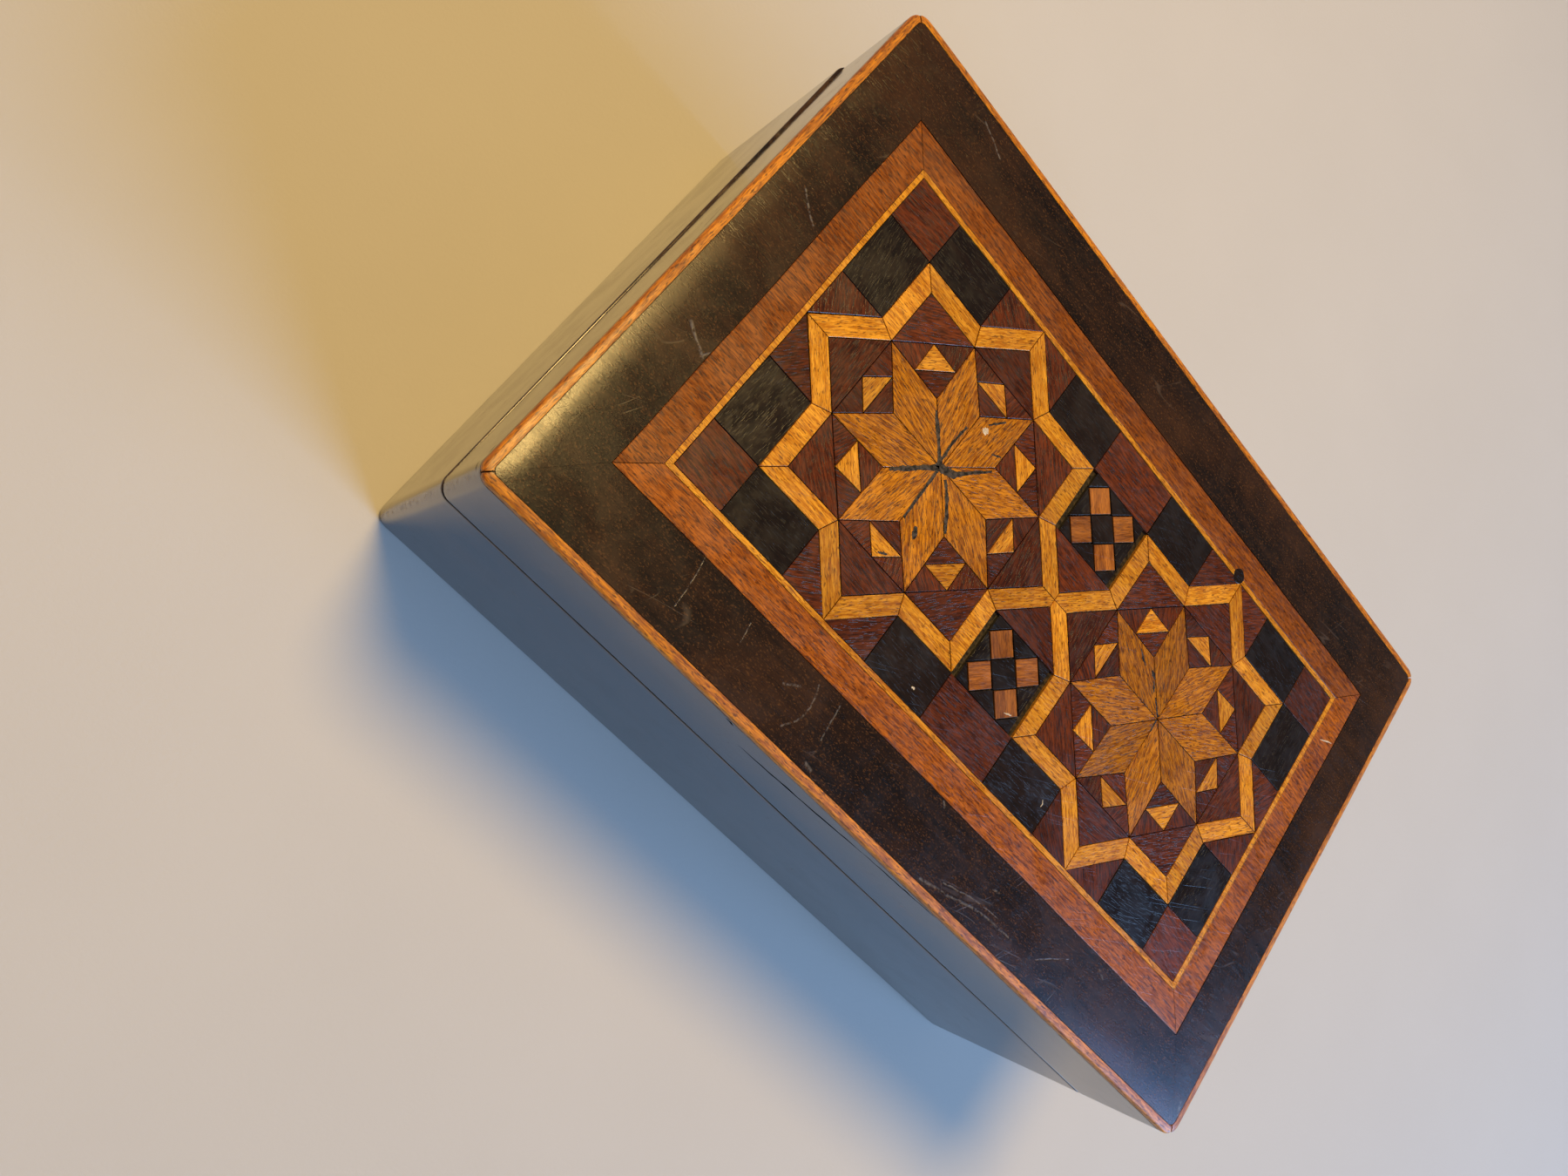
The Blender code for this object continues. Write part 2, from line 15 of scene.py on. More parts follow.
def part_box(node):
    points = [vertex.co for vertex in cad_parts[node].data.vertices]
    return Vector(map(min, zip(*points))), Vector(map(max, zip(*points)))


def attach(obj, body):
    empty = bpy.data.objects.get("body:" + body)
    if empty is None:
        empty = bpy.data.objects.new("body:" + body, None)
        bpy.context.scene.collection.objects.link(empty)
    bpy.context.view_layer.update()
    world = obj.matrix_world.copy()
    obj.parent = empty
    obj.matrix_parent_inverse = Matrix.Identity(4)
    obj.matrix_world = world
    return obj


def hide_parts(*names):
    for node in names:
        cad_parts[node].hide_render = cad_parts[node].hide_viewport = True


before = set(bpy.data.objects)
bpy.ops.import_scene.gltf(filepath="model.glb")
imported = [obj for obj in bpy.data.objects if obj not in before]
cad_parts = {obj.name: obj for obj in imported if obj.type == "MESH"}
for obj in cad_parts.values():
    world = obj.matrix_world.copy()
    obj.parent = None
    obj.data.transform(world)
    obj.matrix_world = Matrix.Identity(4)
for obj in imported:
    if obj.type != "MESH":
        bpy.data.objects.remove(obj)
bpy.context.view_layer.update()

MM = 0.001
SIDES = ("front", "right", "back", "left")

# --- places, from the frame


def corners_of(node):
    """Lowest and highest corner of a CAD node, in millimetres."""
    low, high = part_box(node)
    return low / MM, high / MM


def outline_of(name):
    """The rectangle round all nodes whose names start so: low x, high x, low y, high y."""
    corners = [corners_of(node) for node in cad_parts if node.startswith(name)]
    low_x = min(low.x for low, high in corners)
    high_x = max(high.x for low, high in corners)
    low_y = min(low.y for low, high in corners)
    high_y = max(high.y for low, high in corners)
    return low_x, high_x, low_y, high_y


def grown(rectangle, margin):
    """A rectangle with every side moved outwards."""
    low_x, high_x, low_y, high_y = rectangle
    return low_x - margin, high_x + margin, low_y - margin, high_y + margin


BOX = outline_of("lid_veneer_")
STRINGING_LOW, TOP = (corner.z for corner in corners_of("stringing_front"))
LID_LOW = corners_of("lid_veneer_front")[0].z
BASE_TOP = corners_of("base_veneer_front")[1].z
SKIN = corners_of("lid_veneer_front")[1].y - corners_of("lid_veneer_front")[0].y
CORNER_RADIUS = 2.5
STRINGING_WIDTH = 1.5
BANDING = outline_of("banding_")
LIGHT_LINE = outline_of("light_line_")
FIELD = outline_of("field_")
MIDDLE = (FIELD[0] + FIELD[1]) / 2
MEDALLIONS = {side: sum(corners_of(f"star_{side}"), Vector()) / 2 for side in ("left", "right")}
PLUG_LOW, PLUG_HIGH = corners_of("ebony_plug")

# --- how the hand-made top differs from a drawing

VENEER_LOW = TOP - 1.1  # underside of the veneers
BED_TOP = TOP - 0.7  # of the glue seen in the joints
JOINT = 0.07  # from a drawn line to a piece's edge
ARRIS = 0.05  # a piece's softened edge
STEP = 2.5  # between points along a joint
WANDER = 0.16  # how far a joint strays, and over what length
WANDER_LENGTH = 17.0
CALM_MARGIN = 6.0  # from the stringing to where joints stray fully
LEDGE_NEAR = 0.12  # the lid's setback at the left end: at the front, its growth to the back, its reach
LEDGE_GROWTH = 0.34
LEDGE_REACH = 12.0
PIECE_SINK = (0.02, 0.055)  # least and most that a veneer lies below the top
PIECE_TILT = 0.0025
SHADING_EDGE = 0.4  # support points beside a rounded arris, so that flat walls shade flat
ROLL_REACH = {"front": 6.0, "right": 7.0, "back": 6.0, "left": 5.5}
ROLL_DROP = {"front": 0.22, "right": 0.22, "back": 0.18, "left": 0.5}
ROLL_LIMIT = 0.75

ROOM_COLOUR = (0.80, 0.85, 0.95)
ROOM_HORIZON = 0.46
ROOM_OVERHEAD = 0.11
ROOM_FADE = (0.08, 0.5)  # heights of view between which the room dims
FLOOR_GLOW = 0.8 * ROOM_HORIZON
FLOOR_GLOW_NEAR = 450.0
FLOOR_GLOW_FAR = 1600.0
FLOOR_HALF = 3.0  # in metres
FLOOR_GAP = 0.2 * MM

# Both sources of chance are seeded, so that every run makes the same box.
SEED = 11
dice = random.Random(SEED)
noise.seed_set(SEED)


def wander(x, y):
    """How far a hand-cut joint lies off its drawn place; nothing near the box's edge."""
    margin = min(x - BOX[0], BOX[1] - x, y - BOX[2], BOX[3] - y)
    calm = min(1.0, max(0.0, (margin - STRINGING_WIDTH) / CALM_MARGIN))
    here = Vector((x / WANDER_LENGTH, y / WANDER_LENGTH, 3.7))
    drift = noise.noise_vector(here) * WANDER * calm
    return drift.x, drift.y


def on_lid(x, y):
    """A place on the lid, whose left end is set back a little from the base."""
    drift_x, drift_y = wander(x, y)
    share = (y - BOX[2]) / (BOX[3] - BOX[2])
    fade = max(0.0, 1 - (x - BOX[0]) / LEDGE_REACH)
    return x + drift_x + (LEDGE_NEAR + LEDGE_GROWTH * share) * fade, y + drift_y


def on_base(x, y):
    return x, y


def roll_off(x, y):
    """How far the worn top has rolled down towards the box's edges."""
    gaps = {"left": x - BOX[0], "right": BOX[1] - x, "front": y - BOX[2], "back": BOX[3] - y}
    drop = 0.0
    for side, gap in gaps.items():
        drop += ROLL_DROP[side] * max(0.0, 1 - gap / ROLL_REACH[side]) ** 2
    return min(drop, ROLL_LIMIT)


# --- mesh helpers

Cut = namedtuple("Cut", "turn shift tone")


def new_cut(turn, spread=1.0, painted_shading=0.0):
    """A piece sawn from the sheet: its grain's direction, its place in the sheet and how light it is: a
    random tone, plus painted_shading, which is painted light or shade given to a whole group of pieces.
    """
    shift = Vector((dice.uniform(0, 400), dice.uniform(0, 400), dice.uniform(0, 400)))
    return Cut(math.radians(turn), shift, dice.uniform(-spread, spread) + painted_shading)


def new_object(name, bm, material):
    """An object in the scene made from a bmesh, which is freed."""
    mesh = bpy.data.meshes.new(name)
    bm.to_mesh(mesh)
    bm.free()
    mesh.materials.append(material)
    thing = bpy.data.objects.new(name, mesh)
    bpy.context.scene.collection.objects.link(thing)
    return thing


class Body:
    """A mesh being built. Every vertex knows its place along and across the grain."""

    def __init__(self, settle=on_lid):
        self.bm = bmesh.new()
        self.settle = settle
        self.grain = self.bm.verts.layers.float_vector.new("grain")
        self.tone = self.bm.verts.layers.float.new("tone")

    def vertex(self, point, cut):
        x, y, z = point
        settled_x, settled_y = self.settle(x, y)
        vertex = self.bm.verts.new((settled_x * MM, settled_y * MM, z * MM))
        along = x * math.cos(cut.turn) + y * math.sin(cut.turn)
        across = y * math.cos(cut.turn) - x * math.sin(cut.turn)
        vertex[self.grain] = Vector((along, across, z)) + cut.shift
        vertex[self.tone] = cut.tone
        return vertex

    def loft(self, rings, cut, closed=False):
        """A closed skin through rings of points; the ends are capped, or the last ring joins the first."""
        loops = [[self.vertex(point, cut) for point in ring] for ring in rings]
        followers = loops[1:] + (loops[:1] if closed else [])
        for loop, follower in zip(loops, followers):
            for i in range(len(loop)):
                j = (i + 1) % len(loop)
                self.bm.faces.new((loop[i], loop[j], follower[j], follower[i]))
        if not closed:
            self.bm.faces.new(loops[0])
            self.bm.faces.new(loops[-1])

    def finish(self, name, kind, replaced=(), body="lid"):
        """The mesh as a piece of one material that rides on a body, in place of CAD nodes."""
        bmesh.ops.remove_doubles(self.bm, verts=self.bm.verts, dist=0.001 * MM)
        bmesh.ops.recalc_face_normals(self.bm, faces=self.bm.faces)
        piece = new_object(name, self.bm, MATERIALS[kind])
        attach(piece, body)
        if replaced:
            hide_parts(*replaced)
        return piece


def smooth(piece, angle=35):
    """Shades faces smooth where they meet at less than an angle, in degrees."""
    for polygon in piece.data.polygons:
        polygon.use_smooth = True
    piece.data.set_sharp_from_angle(angle=math.radians(angle))


def carve(piece, cutter):
    """Cuts the cutter's shape out of the piece and throws the cutter away."""
    boolean = piece.modifiers.new("carve", "BOOLEAN")
    boolean.operation = "DIFFERENCE"
    boolean.solver = "EXACT"
    boolean.object = cutter
    boolean.material_mode = "TRANSFER"
    bpy.context.view_layer.update()
    evaluated = piece.evaluated_get(bpy.context.evaluated_depsgraph_get())
    mesh = bpy.data.meshes.new_from_object(evaluated)
    piece.modifiers.remove(boolean)
    piece.data = mesh
    bpy.data.objects.remove(cutter)


def side_line(rectangle, radius, side, count=30, arc=4):
    """Points along a side of a rounded rectangle, from the middle of a corner to the middle of the next."""
    low_x, high_x, low_y, high_y = rectangle
    half_x, half_y = (high_x - low_x) / 2, (high_y - low_y) / 2
    long, deep = (half_x, half_y) if side in ("front", "back") else (half_y, half_x)
    points = []
    for step in range(arc + 1):
        angle = math.radians(225 + 45 * step / arc)
        points.append((radius - long + radius * math.cos(angle), radius * math.sin(angle)))
    near_arc = SHADING_EDGE / (2 * (long - radius))
    for share in [near_arc] + [step / count for step in range(1, count)] + [1 - near_arc]:
        points.append(((radius - long) * (1 - 2 * share), -radius))
    for step in range(arc + 1):
        angle = math.radians(270 + 45 * step / arc)
        points.append((long - radius + radius * math.cos(angle), radius * math.sin(angle)))
    turn = SIDES.index(side) * math.pi / 2
    line = []
    for along, rise in points:
        out = rise + radius - deep
        x = along * math.cos(turn) - out * math.sin(turn) + (low_x + high_x) / 2
        y = along * math.sin(turn) + out * math.cos(turn) + (low_y + high_y) / 2
        line.append(Vector((x, y)))
    return line


def band(body, side, outer, inner, profile, cut, joint):
    """A mitred strip between two rounded rectangles. profile(x, y) gives (share across, height) points."""
    outer_line = side_line(*outer, side)
    inner_line = side_line(*inner, side)
    rings = []
    for outer_point, inner_point in zip(outer_line, inner_line):
        middle = (outer_point + inner_point) / 2
        ring = []
        for share, height in profile(middle.x, middle.y):
            point = outer_point.lerp(inner_point, share)
            ring.append((point.x, point.y, height))
        rings.append(ring)
    along = (outer_line[-1] - outer_line[0]).normalized()
    for ring, sign in ((rings[0], 1), (rings[-1], -1)):
        for i, (x, y, z) in enumerate(ring):
            ring[i] = (x + along.x * joint * sign, y + along.y * joint * sign, z)
    body.loft(rings, cut)


# --- outlines of veneers


def area(outline):
    total = 0.0
    for i, point in enumerate(outline):
        total += outline[i - 1].cross(point)
    return total / 2


def clipped(outline, point, inward):
    """The part of a convex outline that lies on the inward side of a line through point."""
    kept = []
    for i, here in enumerate(outline):
        before = outline[i - 1]
        here_side = (here - point).dot(inward)
        before_side = (before - point).dot(inward)
        if here_side * before_side < 0:
            kept.append(before.lerp(here, before_side / (before_side - here_side)))
        if here_side >= 0:
            kept.append(here)
    return kept


def inset(outline, distance):
    """An anticlockwise outline moved inwards."""
    points = []
    for i, point in enumerate(outline):
        before = (point - outline[i - 1]).normalized()
        after = (outline[(i + 1) % len(outline)] - point).normalized()
        normal = Vector((-before.y - after.y, before.x + after.x)).normalized()
        points.append(point + normal * distance / normal.dot(Vector((-after.y, after.x))))
    return points


def divided(outline):
    """The outline with points added, so that its sides can follow a curved joint."""
    points = []
    for i, point in enumerate(outline):
        following = outline[(i + 1) % len(outline)]
        count = max(1, round((following - point).length / STEP))
        points += [point.lerp(following, step / count) for step in range(count)]
    return points


def veneer(body, outline, cut):
    """One veneer of the marquetry: its arrises softened, its top a little low and a little tilted."""
    corners = [Vector(point) for point in outline]
    if area(corners) < 0:
        corners.reverse()
    centre = sum(corners, Vector((0, 0))) / len(corners)
    least, most = PIECE_SINK
    sink = least + dice.uniform(0, most - least)
    tilt = Vector((dice.uniform(-PIECE_TILT, PIECE_TILT), dice.uniform(-PIECE_TILT, PIECE_TILT)))
    fine = divided(corners)
    rings = []
    for margin, depth in ((JOINT, None), (JOINT, ARRIS), (JOINT + ARRIS, 0)):
        ring = []
        for point in inset(fine, margin):
            height = TOP - sink + min(least, tilt.dot(point - centre))
            ring.append((point.x, point.y, VENEER_LOW if depth is None else height - depth))
        rings.append(ring)
    body.loft(rings, cut)


# --- materials

POLISH_IOR = 1.5


def srgb(red, green, blue):
    """A display colour, 0 to 255, as the linear colour that shaders take."""

    def linear(value):
        share = value / 255
        return share / 12.92 if share <= 0.04045 else ((share + 0.055) / 1.055) ** 2.4

    return linear(red), linear(green), linear(blue), 1.0


class Graph:
    """Short calls that build the nodes of one material, or of the world."""

    def __init__(self, owner, shader="Principled BSDF"):
        self.owner = owner
        owner.use_nodes = True
        self.nodes = owner.node_tree.nodes
        self.links = owner.node_tree.links
        self.shader = self.nodes[shader]

    def feed(self, socket, value):
        if isinstance(value, bpy.types.NodeSocket):
            self.links.new(value, socket)
        else:
            socket.default_value = value

    def node(self, kind, inputs, output=0, **settings):
        """An output of a new node, with its settings made and its inputs fed."""
        node = self.nodes.new(f"ShaderNode{kind}")
        for name, value in settings.items():
            setattr(node, name, value)
        for socket, value in inputs.items():
            self.feed(node.inputs[socket], value)
        return node.outputs[output]

    def math(self, operation, a, b=0.0):
        return self.node("Math", {0: a, 1: b}, operation=operation)

    def plus(self, a, b):
        return self.math("ADD", a, b)

    def minus(self, a, b):
        return self.math("SUBTRACT", a, b)

    def times(self, a, b):
        return self.math("MULTIPLY", a, b)

    def larger(self, a, b):
        return self.math("MAXIMUM", a, b)

    def vector(self, operation, a, b, output="Vector"):
        return self.node("VectorMath", {0: a, 1: b}, output, operation=operation)

    def split(self, vector):
        """The x, y and z of a vector."""
        node = self.nodes.new("ShaderNodeSeparateXYZ")
        self.feed(node.inputs[0], vector)
        return node.outputs

    def noise(self, place, scale=1.0, detail=2.0, roughness=0.5, distortion=0.0, output="Fac"):
        inputs = {"Vector": place, "Scale": scale, "Detail": detail}
        inputs.update({"Roughness": roughness, "Distortion": distortion})
        return self.node("TexNoise", inputs, output)

    def figure(self, grain, along, across, detail, roughness=0.5, distortion=0.0):
        """Noise with one scale along the grain and another across it."""
        return self.noise(self.turned(grain, 0, (along, across, across)), 1.0, detail, roughness, distortion)

    def between(self, value, low, high, out_low=0.0, out_high=1.0):
        """A smooth step from out_low to out_high while value goes from low to high."""
        inputs = {"Value": value, "From Min": low, "From Max": high, "To Min": out_low, "To Max": out_high}
        return self.node("MapRange", inputs, "Result", interpolation_type="SMOOTHSTEP")

    def mix(self, factor, a, b, blend="MIX"):
        return self.node("Mix", {0: factor, 6: a, 7: b}, 2, data_type="RGBA", blend_type=blend)

    def turned(self, place, angle, scale):
        """Coordinates turned about Z by an angle in degrees, then scaled."""
        inputs = {"Vector": place, "Rotation": (0, 0, math.radians(angle))}
        inputs["Scale"] = [1 / share for share in scale]
        return self.node("Mapping", inputs, vector_type="TEXTURE")

    def position(self):
        """The place on the box in millimetres; it moves with the body."""
        return self.vector("MULTIPLY", self.node("TexCoord", {}, "Object"), (1 / MM,) * 3)

    def attribute(self, name, output):
        return self.node("Attribute", {}, output, attribute_name=name)

    def grain(self, source):
        """Place along, across and through the grain: from the veneers, or for solid wood along an axis."""
        if source == "veneer":
            return self.attribute("grain", "Vector")
        x, y, z = self.split(self.position())
        if source == "wall":
            return self.node("CombineXYZ", {0: self.plus(x, y), 1: z})
        order = {"x": (x, y, z), "y": (y, x, z), "z": (z, x, y)}[source]
        return self.node("CombineXYZ", dict(enumerate(order)))

    def hairlines(self, place, angle, length, spacing, width, cover):
        """Fine scratches that run roughly one way: 1 on a scratch."""
        lines = self.noise(self.turned(place, angle, (1 / length, 1 / spacing, 1.0)), 1.0, 1.0, 0.4, 0.3)
        line = self.between(self.math("ABSOLUTE", self.minus(lines, 0.5)), 0.0, width, 1.0, 0.0)
        patches = self.between(self.noise(place, 0.12, 2.0, 0.6), 1 - cover, 1.12 - cover)
        return self.times(line, patches)

    def surface(self, colour, roughness):
        self.feed(self.shader.inputs["Base Color"], colour)
        self.feed(self.shader.inputs["Roughness"], roughness)

    def bump(self, height, distance, strength):
        """Relief of a depth in millimetres."""
        inputs = {"Strength": strength, "Distance": distance * MM, "Height": height}
        self.feed(self.shader.inputs["Normal"], self.node("Bump", inputs))

    def gloss(self, coat, coat_roughness, specular=0.5):
        """Constants of the polish, on the shader's own sockets."""
        self.shader.inputs["Coat Weight"].default_value = coat
        self.shader.inputs["Coat Roughness"].default_value = coat_roughness
        self.shader.inputs["Specular IOR Level"].default_value = specular
        self.shader.inputs["IOR"].default_value = POLISH_IOR


def material_graph(name):
    return Graph(bpy.data.materials.new(name))


# Three display colours, then how strong each kind of figure is, and the roughness of the surface.
Wood = namedtuple("Wood", "dark middle pale fibre streak fleck pore gloss")

WOODS = {
    "honey": Wood((142, 76, 18), (200, 124, 36), (238, 174, 70), 0.85, 0.5, 0.95, 0.4, 0.34),
    "amber": Wood((104, 50, 10), (172, 96, 26), (220, 148, 54), 1.0, 0.5, 1.0, 0.7, 0.32),
    "stringing": Wood((112, 50, 10), (190, 106, 22), (228, 150, 48), 0.9, 0.6, 1.0, 0.5, 0.46),
    "satinwood": Wood((70, 28, 8), (136, 68, 22), (184, 108, 46), 0.9, 0.5, 0.9, 0.6, 0.3),
    "chequer": Wood((94, 46, 16), (146, 82, 34), (186, 118, 56), 0.7, 0.9, 0.5, 0.4, 0.34),
    "mahogany": Wood((28, 10, 4), (70, 28, 12), (116, 58, 30), 0.95, 0.4, 0.4, 0.9, 0.28),
    "ebony": Wood((9, 6, 4), (20, 12, 8), (40, 25, 15), 0.5, 0.4, 0.2, 0.6, 0.26),
    "oak": Wood((112, 76, 44), (158, 114, 70), (190, 148, 100), 0.5, 0.6, 0.3, 0.8, 0.55),
}


def wood(name, source="veneer", tint=0.32):
    """A wood's material: streaks, fibres, flecks and pores along the grain under a rubbed polish."""
    spec = WOODS[name]
    dark, middle, pale = srgb(*spec.dark), srgb(*spec.middle), srgb(*spec.pale)
    graph = material_graph(f"{name}_{source}")
    grain, place = graph.grain(source), graph.position()
    streaks = graph.figure(grain, 0.035, 0.6, 4.0, 0.6, 0.6)
    fibres = graph.figure(grain, 0.4, 3.2, 3.0, 0.66, 0.3)
    flecks = graph.figure(grain, 0.95, 4.6, 1.0)
    pores = graph.figure(grain, 0.6, 6.5, 1.0)
    cloud = graph.noise(place, 0.09, 2.0, 0.6)
    colour = graph.mix(graph.between(streaks, 0.3, 0.72), dark, pale)
    colour = graph.mix(1 - spec.streak, colour, middle)
    fibre_tone = graph.mix(graph.between(fibres, 0.34, 0.66), dark, pale)
    colour = graph.mix(spec.fibre * 0.62, colour, fibre_tone)
    fleck_mask = graph.between(flecks, 0.58, 0.68, 0.0, spec.fleck * 0.8)
    colour = graph.mix(fleck_mask, colour, srgb(*[0.62 * share for share in spec.dark]))
    pore_mask = graph.between(pores, 0.58, 0.68, 0.0, spec.pore)
    colour = graph.mix(pore_mask, colour, srgb(*[0.45 * share for share in spec.dark]))
    if source == "veneer":
        tone = graph.attribute("tone", "Fac")
    else:
        tone = graph.between(cloud, 0.3, 0.7, -0.5, 0.5)
    brightness = graph.plus(graph.times(tone, tint), 1.0)
    colour = graph.node("HueSaturation", {"Saturation": 1.04, "Value": brightness, "Color": colour})
    grime = graph.between(cloud, 0.4, 0.75, 0.0, 0.22)
    colour = graph.mix(grime, colour, srgb(150, 110, 80), "MULTIPLY")
    smudges = graph.noise(place, 0.16, 4.0, 0.65, 0.5)
    roughness = graph.between(smudges, 0.3, 0.7, spec.gloss - 0.08, spec.gloss + 0.12)
    graph.surface(colour, graph.plus(roughness, graph.times(pore_mask, 0.25)))
    lines = graph.hairlines(place, 28, 26.0, 2.2, 0.012, 0.55)
    height = graph.minus(graph.times(fibres, 0.5), graph.times(pore_mask, 0.8))
    height = graph.plus(height, graph.times(streaks, 0.7))
    graph.bump(graph.minus(height, graph.times(lines, 0.5)), 0.03, 0.7)
    graph.gloss(0.12, 0.14)
    return graph.owner


def scratch(graph, place, start, end, width):
    """1 along a straight scratch between two places on the top, 0 from its width away."""
    run = Vector((*end, 0)) - Vector((*start, 0))
    from_start = graph.vector("SUBTRACT", place, (*start, 0))
    reach = graph.vector("DOT_PRODUCT", from_start, run, "Value")
    share = graph.node("Math", {0: reach, 1: run.length_squared}, operation="DIVIDE", use_clamp=True)
    nearest = graph.node("VectorMath", {0: run, "Scale": share}, operation="SCALE")
    away = graph.vector("DISTANCE", from_start, nearest, "Value")
    return graph.between(away, 0.0, width, 1.0, 0.0)


# Scratches that light wood shows through, on the dark border: start, end and width.
SCRATCHES = (
    ((-58, 46.5), (-52.5, 44.5), 0.24),
    ((-71.5, 13), (-67, 10), 0.26),
    ((-70.5, -14.5), (-66, -17), 0.34),
    ((-66.5, -17), (-65.5, -15.5), 0.26),
    ((-48, -36), (-47.2, -40), 0.13),
    ((-47.2, -40), (-46.8, -44.5), 0.13),
    ((-27.8, -41.5), (-25.4, -40), 0.26),
    ((-23.2, -38), (-22.2, -41), 0.22),
    ((-22.2, -41), (-22.6, -44), 0.24),
    ((-22.6, -44), (-24.2, -46), 0.2),
    ((-18.8, -37.5), (-18.0, -43.5), 0.2),
    ((-37, -38.5), (-36.4, -42.5), 0.12),
    ((8.5, -47.9), (14, -46.8), 0.36),
    ((14, -46.8), (20, -45.3), 0.32),
    ((20, -45.3), (28, -44.9), 0.24),
    ((12, -45.9), (18, -44.4), 0.2),
    ((18, -44.4), (24, -44.0), 0.16),
    ((34, -44.5), (39.5, -40.5), 0.16),
    ((-17.6, -47.4), (-16.4, -47.6), 0.46),
    ((75.0, -44.5), (75.8, -46.5), 0.5),
    ((27.1, 35.0), (27.8, 35.2), 0.46),
    ((4.2, -36.8), (5.0, -37.4), 0.3),
    ((20.4, -41.2), (21.6, -41.0), 0.26),
    ((46, -38.2), (47.5, -39.0), 0.26),
)


def scratches(graph, place):
    """The border's scratches, slightly wavy and broken up."""
    flat = graph.vector("MULTIPLY", place, (1, 1, 0))
    wobble = graph.vector("MULTIPLY", graph.noise(flat, 0.35, output="Color"), (0.6, 0.6, 0))
    shaken = graph.vector("SUBTRACT", graph.vector("ADD", flat, wobble), (0.3, 0.3, 0))
    marks = 0.0
    for start, end, width in SCRATCHES:
        marks = graph.larger(marks, scratch(graph, shaken, start, end, width))
    return graph.times(marks, graph.between(graph.noise(place, 1.7, 2.0, 0.6), 0.36, 0.6))


def border_material():
    """Ebonised wood, rubbed brown in places, with pale specks that are partly dust and partly painted
    glints, scratches and a soft polish.
    """
    graph = material_graph("border")
    grain, place = graph.grain("veneer"), graph.position()
    streaks = graph.figure(grain, 0.05, 0.6, 4.0, 0.6, 0.8)
    specks = graph.figure(grain, 2.4, 4.2, 3.0, 0.6)
    pore_mask = graph.between(graph.figure(grain, 0.5, 6.0, 1.0), 0.6, 0.7)
    cloud = graph.noise(place, 0.045, 3.0, 0.6, 0.4)
    marks = scratches(graph, place)
    hair = graph.larger(graph.hairlines(place, 62, 26.0, 3.6, 0.01, 0.42),
                        graph.hairlines(place, 16, 34.0, 4.2, 0.009, 0.45))
    colour = graph.mix(graph.between(streaks, 0.3, 0.75), srgb(16, 9, 5), srgb(42, 25, 13))
    colour = graph.mix(graph.between(cloud, 0.42, 0.68, 0.0, 0.35), colour, srgb(80, 50, 27))
    # Pale specks: partly dust in the pores, partly painted glints where light catches them.
    colour = graph.mix(graph.between(specks, 0.54, 0.68, 0.0, 0.5), colour, srgb(104, 68, 34))
    colour = graph.mix(graph.times(pore_mask, 0.6), colour, srgb(14, 9, 6))
    colour = graph.mix(graph.times(hair, 0.18), colour, srgb(112, 90, 70))
    colour = graph.mix(graph.times(marks, 0.42), colour, srgb(134, 128, 122))
    roughness = graph.between(graph.noise(place, 0.13, 4.0, 0.65, 0.6), 0.3, 0.7, 0.21, 0.3)
    graph.surface(colour, graph.plus(roughness, graph.times(hair, 0.2)))
    height = graph.minus(graph.times(specks, 0.9), graph.times(pore_mask, 0.4))
    height = graph.minus(height, graph.times(hair, 0.6))
    graph.bump(graph.minus(height, marks), 0.03, 0.55)
    graph.gloss(0.1, 0.1, 0.42)
    return graph.owner


def edge_wear(graph, place):
    """1 along the walls' arrises: the seam, the stringing, the foot and the upright corners."""
    x, y, z = graph.split(place)
    wear = 0.0
    for height, reach in ((LID_LOW, 0.5), (STRINGING_LOW, 1.5), (0.0, 0.8)):
        gap = graph.math("ABSOLUTE", graph.minus(z, height))
        wear = graph.larger(wear, graph.between(gap, 0.1, reach, 1.0, 0.0))
    far_x = graph.between(graph.math("ABSOLUTE", x), BOX[1] - 2.0, BOX[1] - 0.7)
    far_y = graph.between(graph.math("ABSOLUTE", y), BOX[3] - 1.6, BOX[3] - 0.6)
    wear = graph.larger(wear, graph.times(far_x, far_y))
    return graph.times(wear, graph.between(graph.noise(place, 0.5, 4.0, 0.65), 0.34, 0.66))


def wall_material():
    """Ebonised, French-polished walls: near black, with faint figure, worn arrises, dust and scratches."""
    graph = material_graph("wall_polish")
    grain, place = graph.grain("wall"), graph.position()
    streaks = graph.figure(grain, 0.03, 0.5, 5.0, 0.62, 0.9)
    fibres = graph.figure(grain, 0.2, 3.0, 2.0, 0.6)
    specks = graph.noise(grain, 1.9, 2.0, 0.6)
    cloud = graph.noise(place, 0.06, 3.0, 0.6)
    wear = edge_wear(graph, place)
    hair = graph.larger(graph.hairlines(grain, 74, 15.0, 1.8, 0.012, 0.45),
                        graph.hairlines(grain, -8, 38.0, 3.0, 0.01, 0.4))
    colour = graph.mix(graph.between(streaks, 0.34, 0.68), srgb(11, 8, 7), srgb(60, 42, 30))
    colour = graph.mix(graph.between(fibres, 0.48, 0.68, 0.0, 0.6), colour, srgb(80, 56, 38))
    colour = graph.mix(graph.between(specks, 0.64, 0.74, 0.0, 0.45), colour, srgb(112, 92, 74))
    colour = graph.mix(graph.between(cloud, 0.45, 0.7, 0.0, 0.4), colour, srgb(66, 46, 32))
    colour = graph.mix(graph.times(wear, 0.5), colour, srgb(84, 52, 32))
    colour = graph.mix(graph.times(hair, 0.35), colour, srgb(132, 116, 100))
    roughness = graph.between(graph.noise(place, 0.1, 4.0, 0.6, 0.4), 0.3, 0.7, 0.08, 0.18)
    roughness = graph.plus(roughness, graph.times(hair, 0.15))
    graph.surface(colour, graph.plus(roughness, graph.times(wear, 0.25)))
    height = graph.plus(graph.times(streaks, 1.2), graph.times(fibres, 0.3))
    graph.bump(graph.minus(height, graph.times(hair, 0.4)), 0.02, 0.5)
    graph.gloss(0.4, 0.06)
    return graph.owner


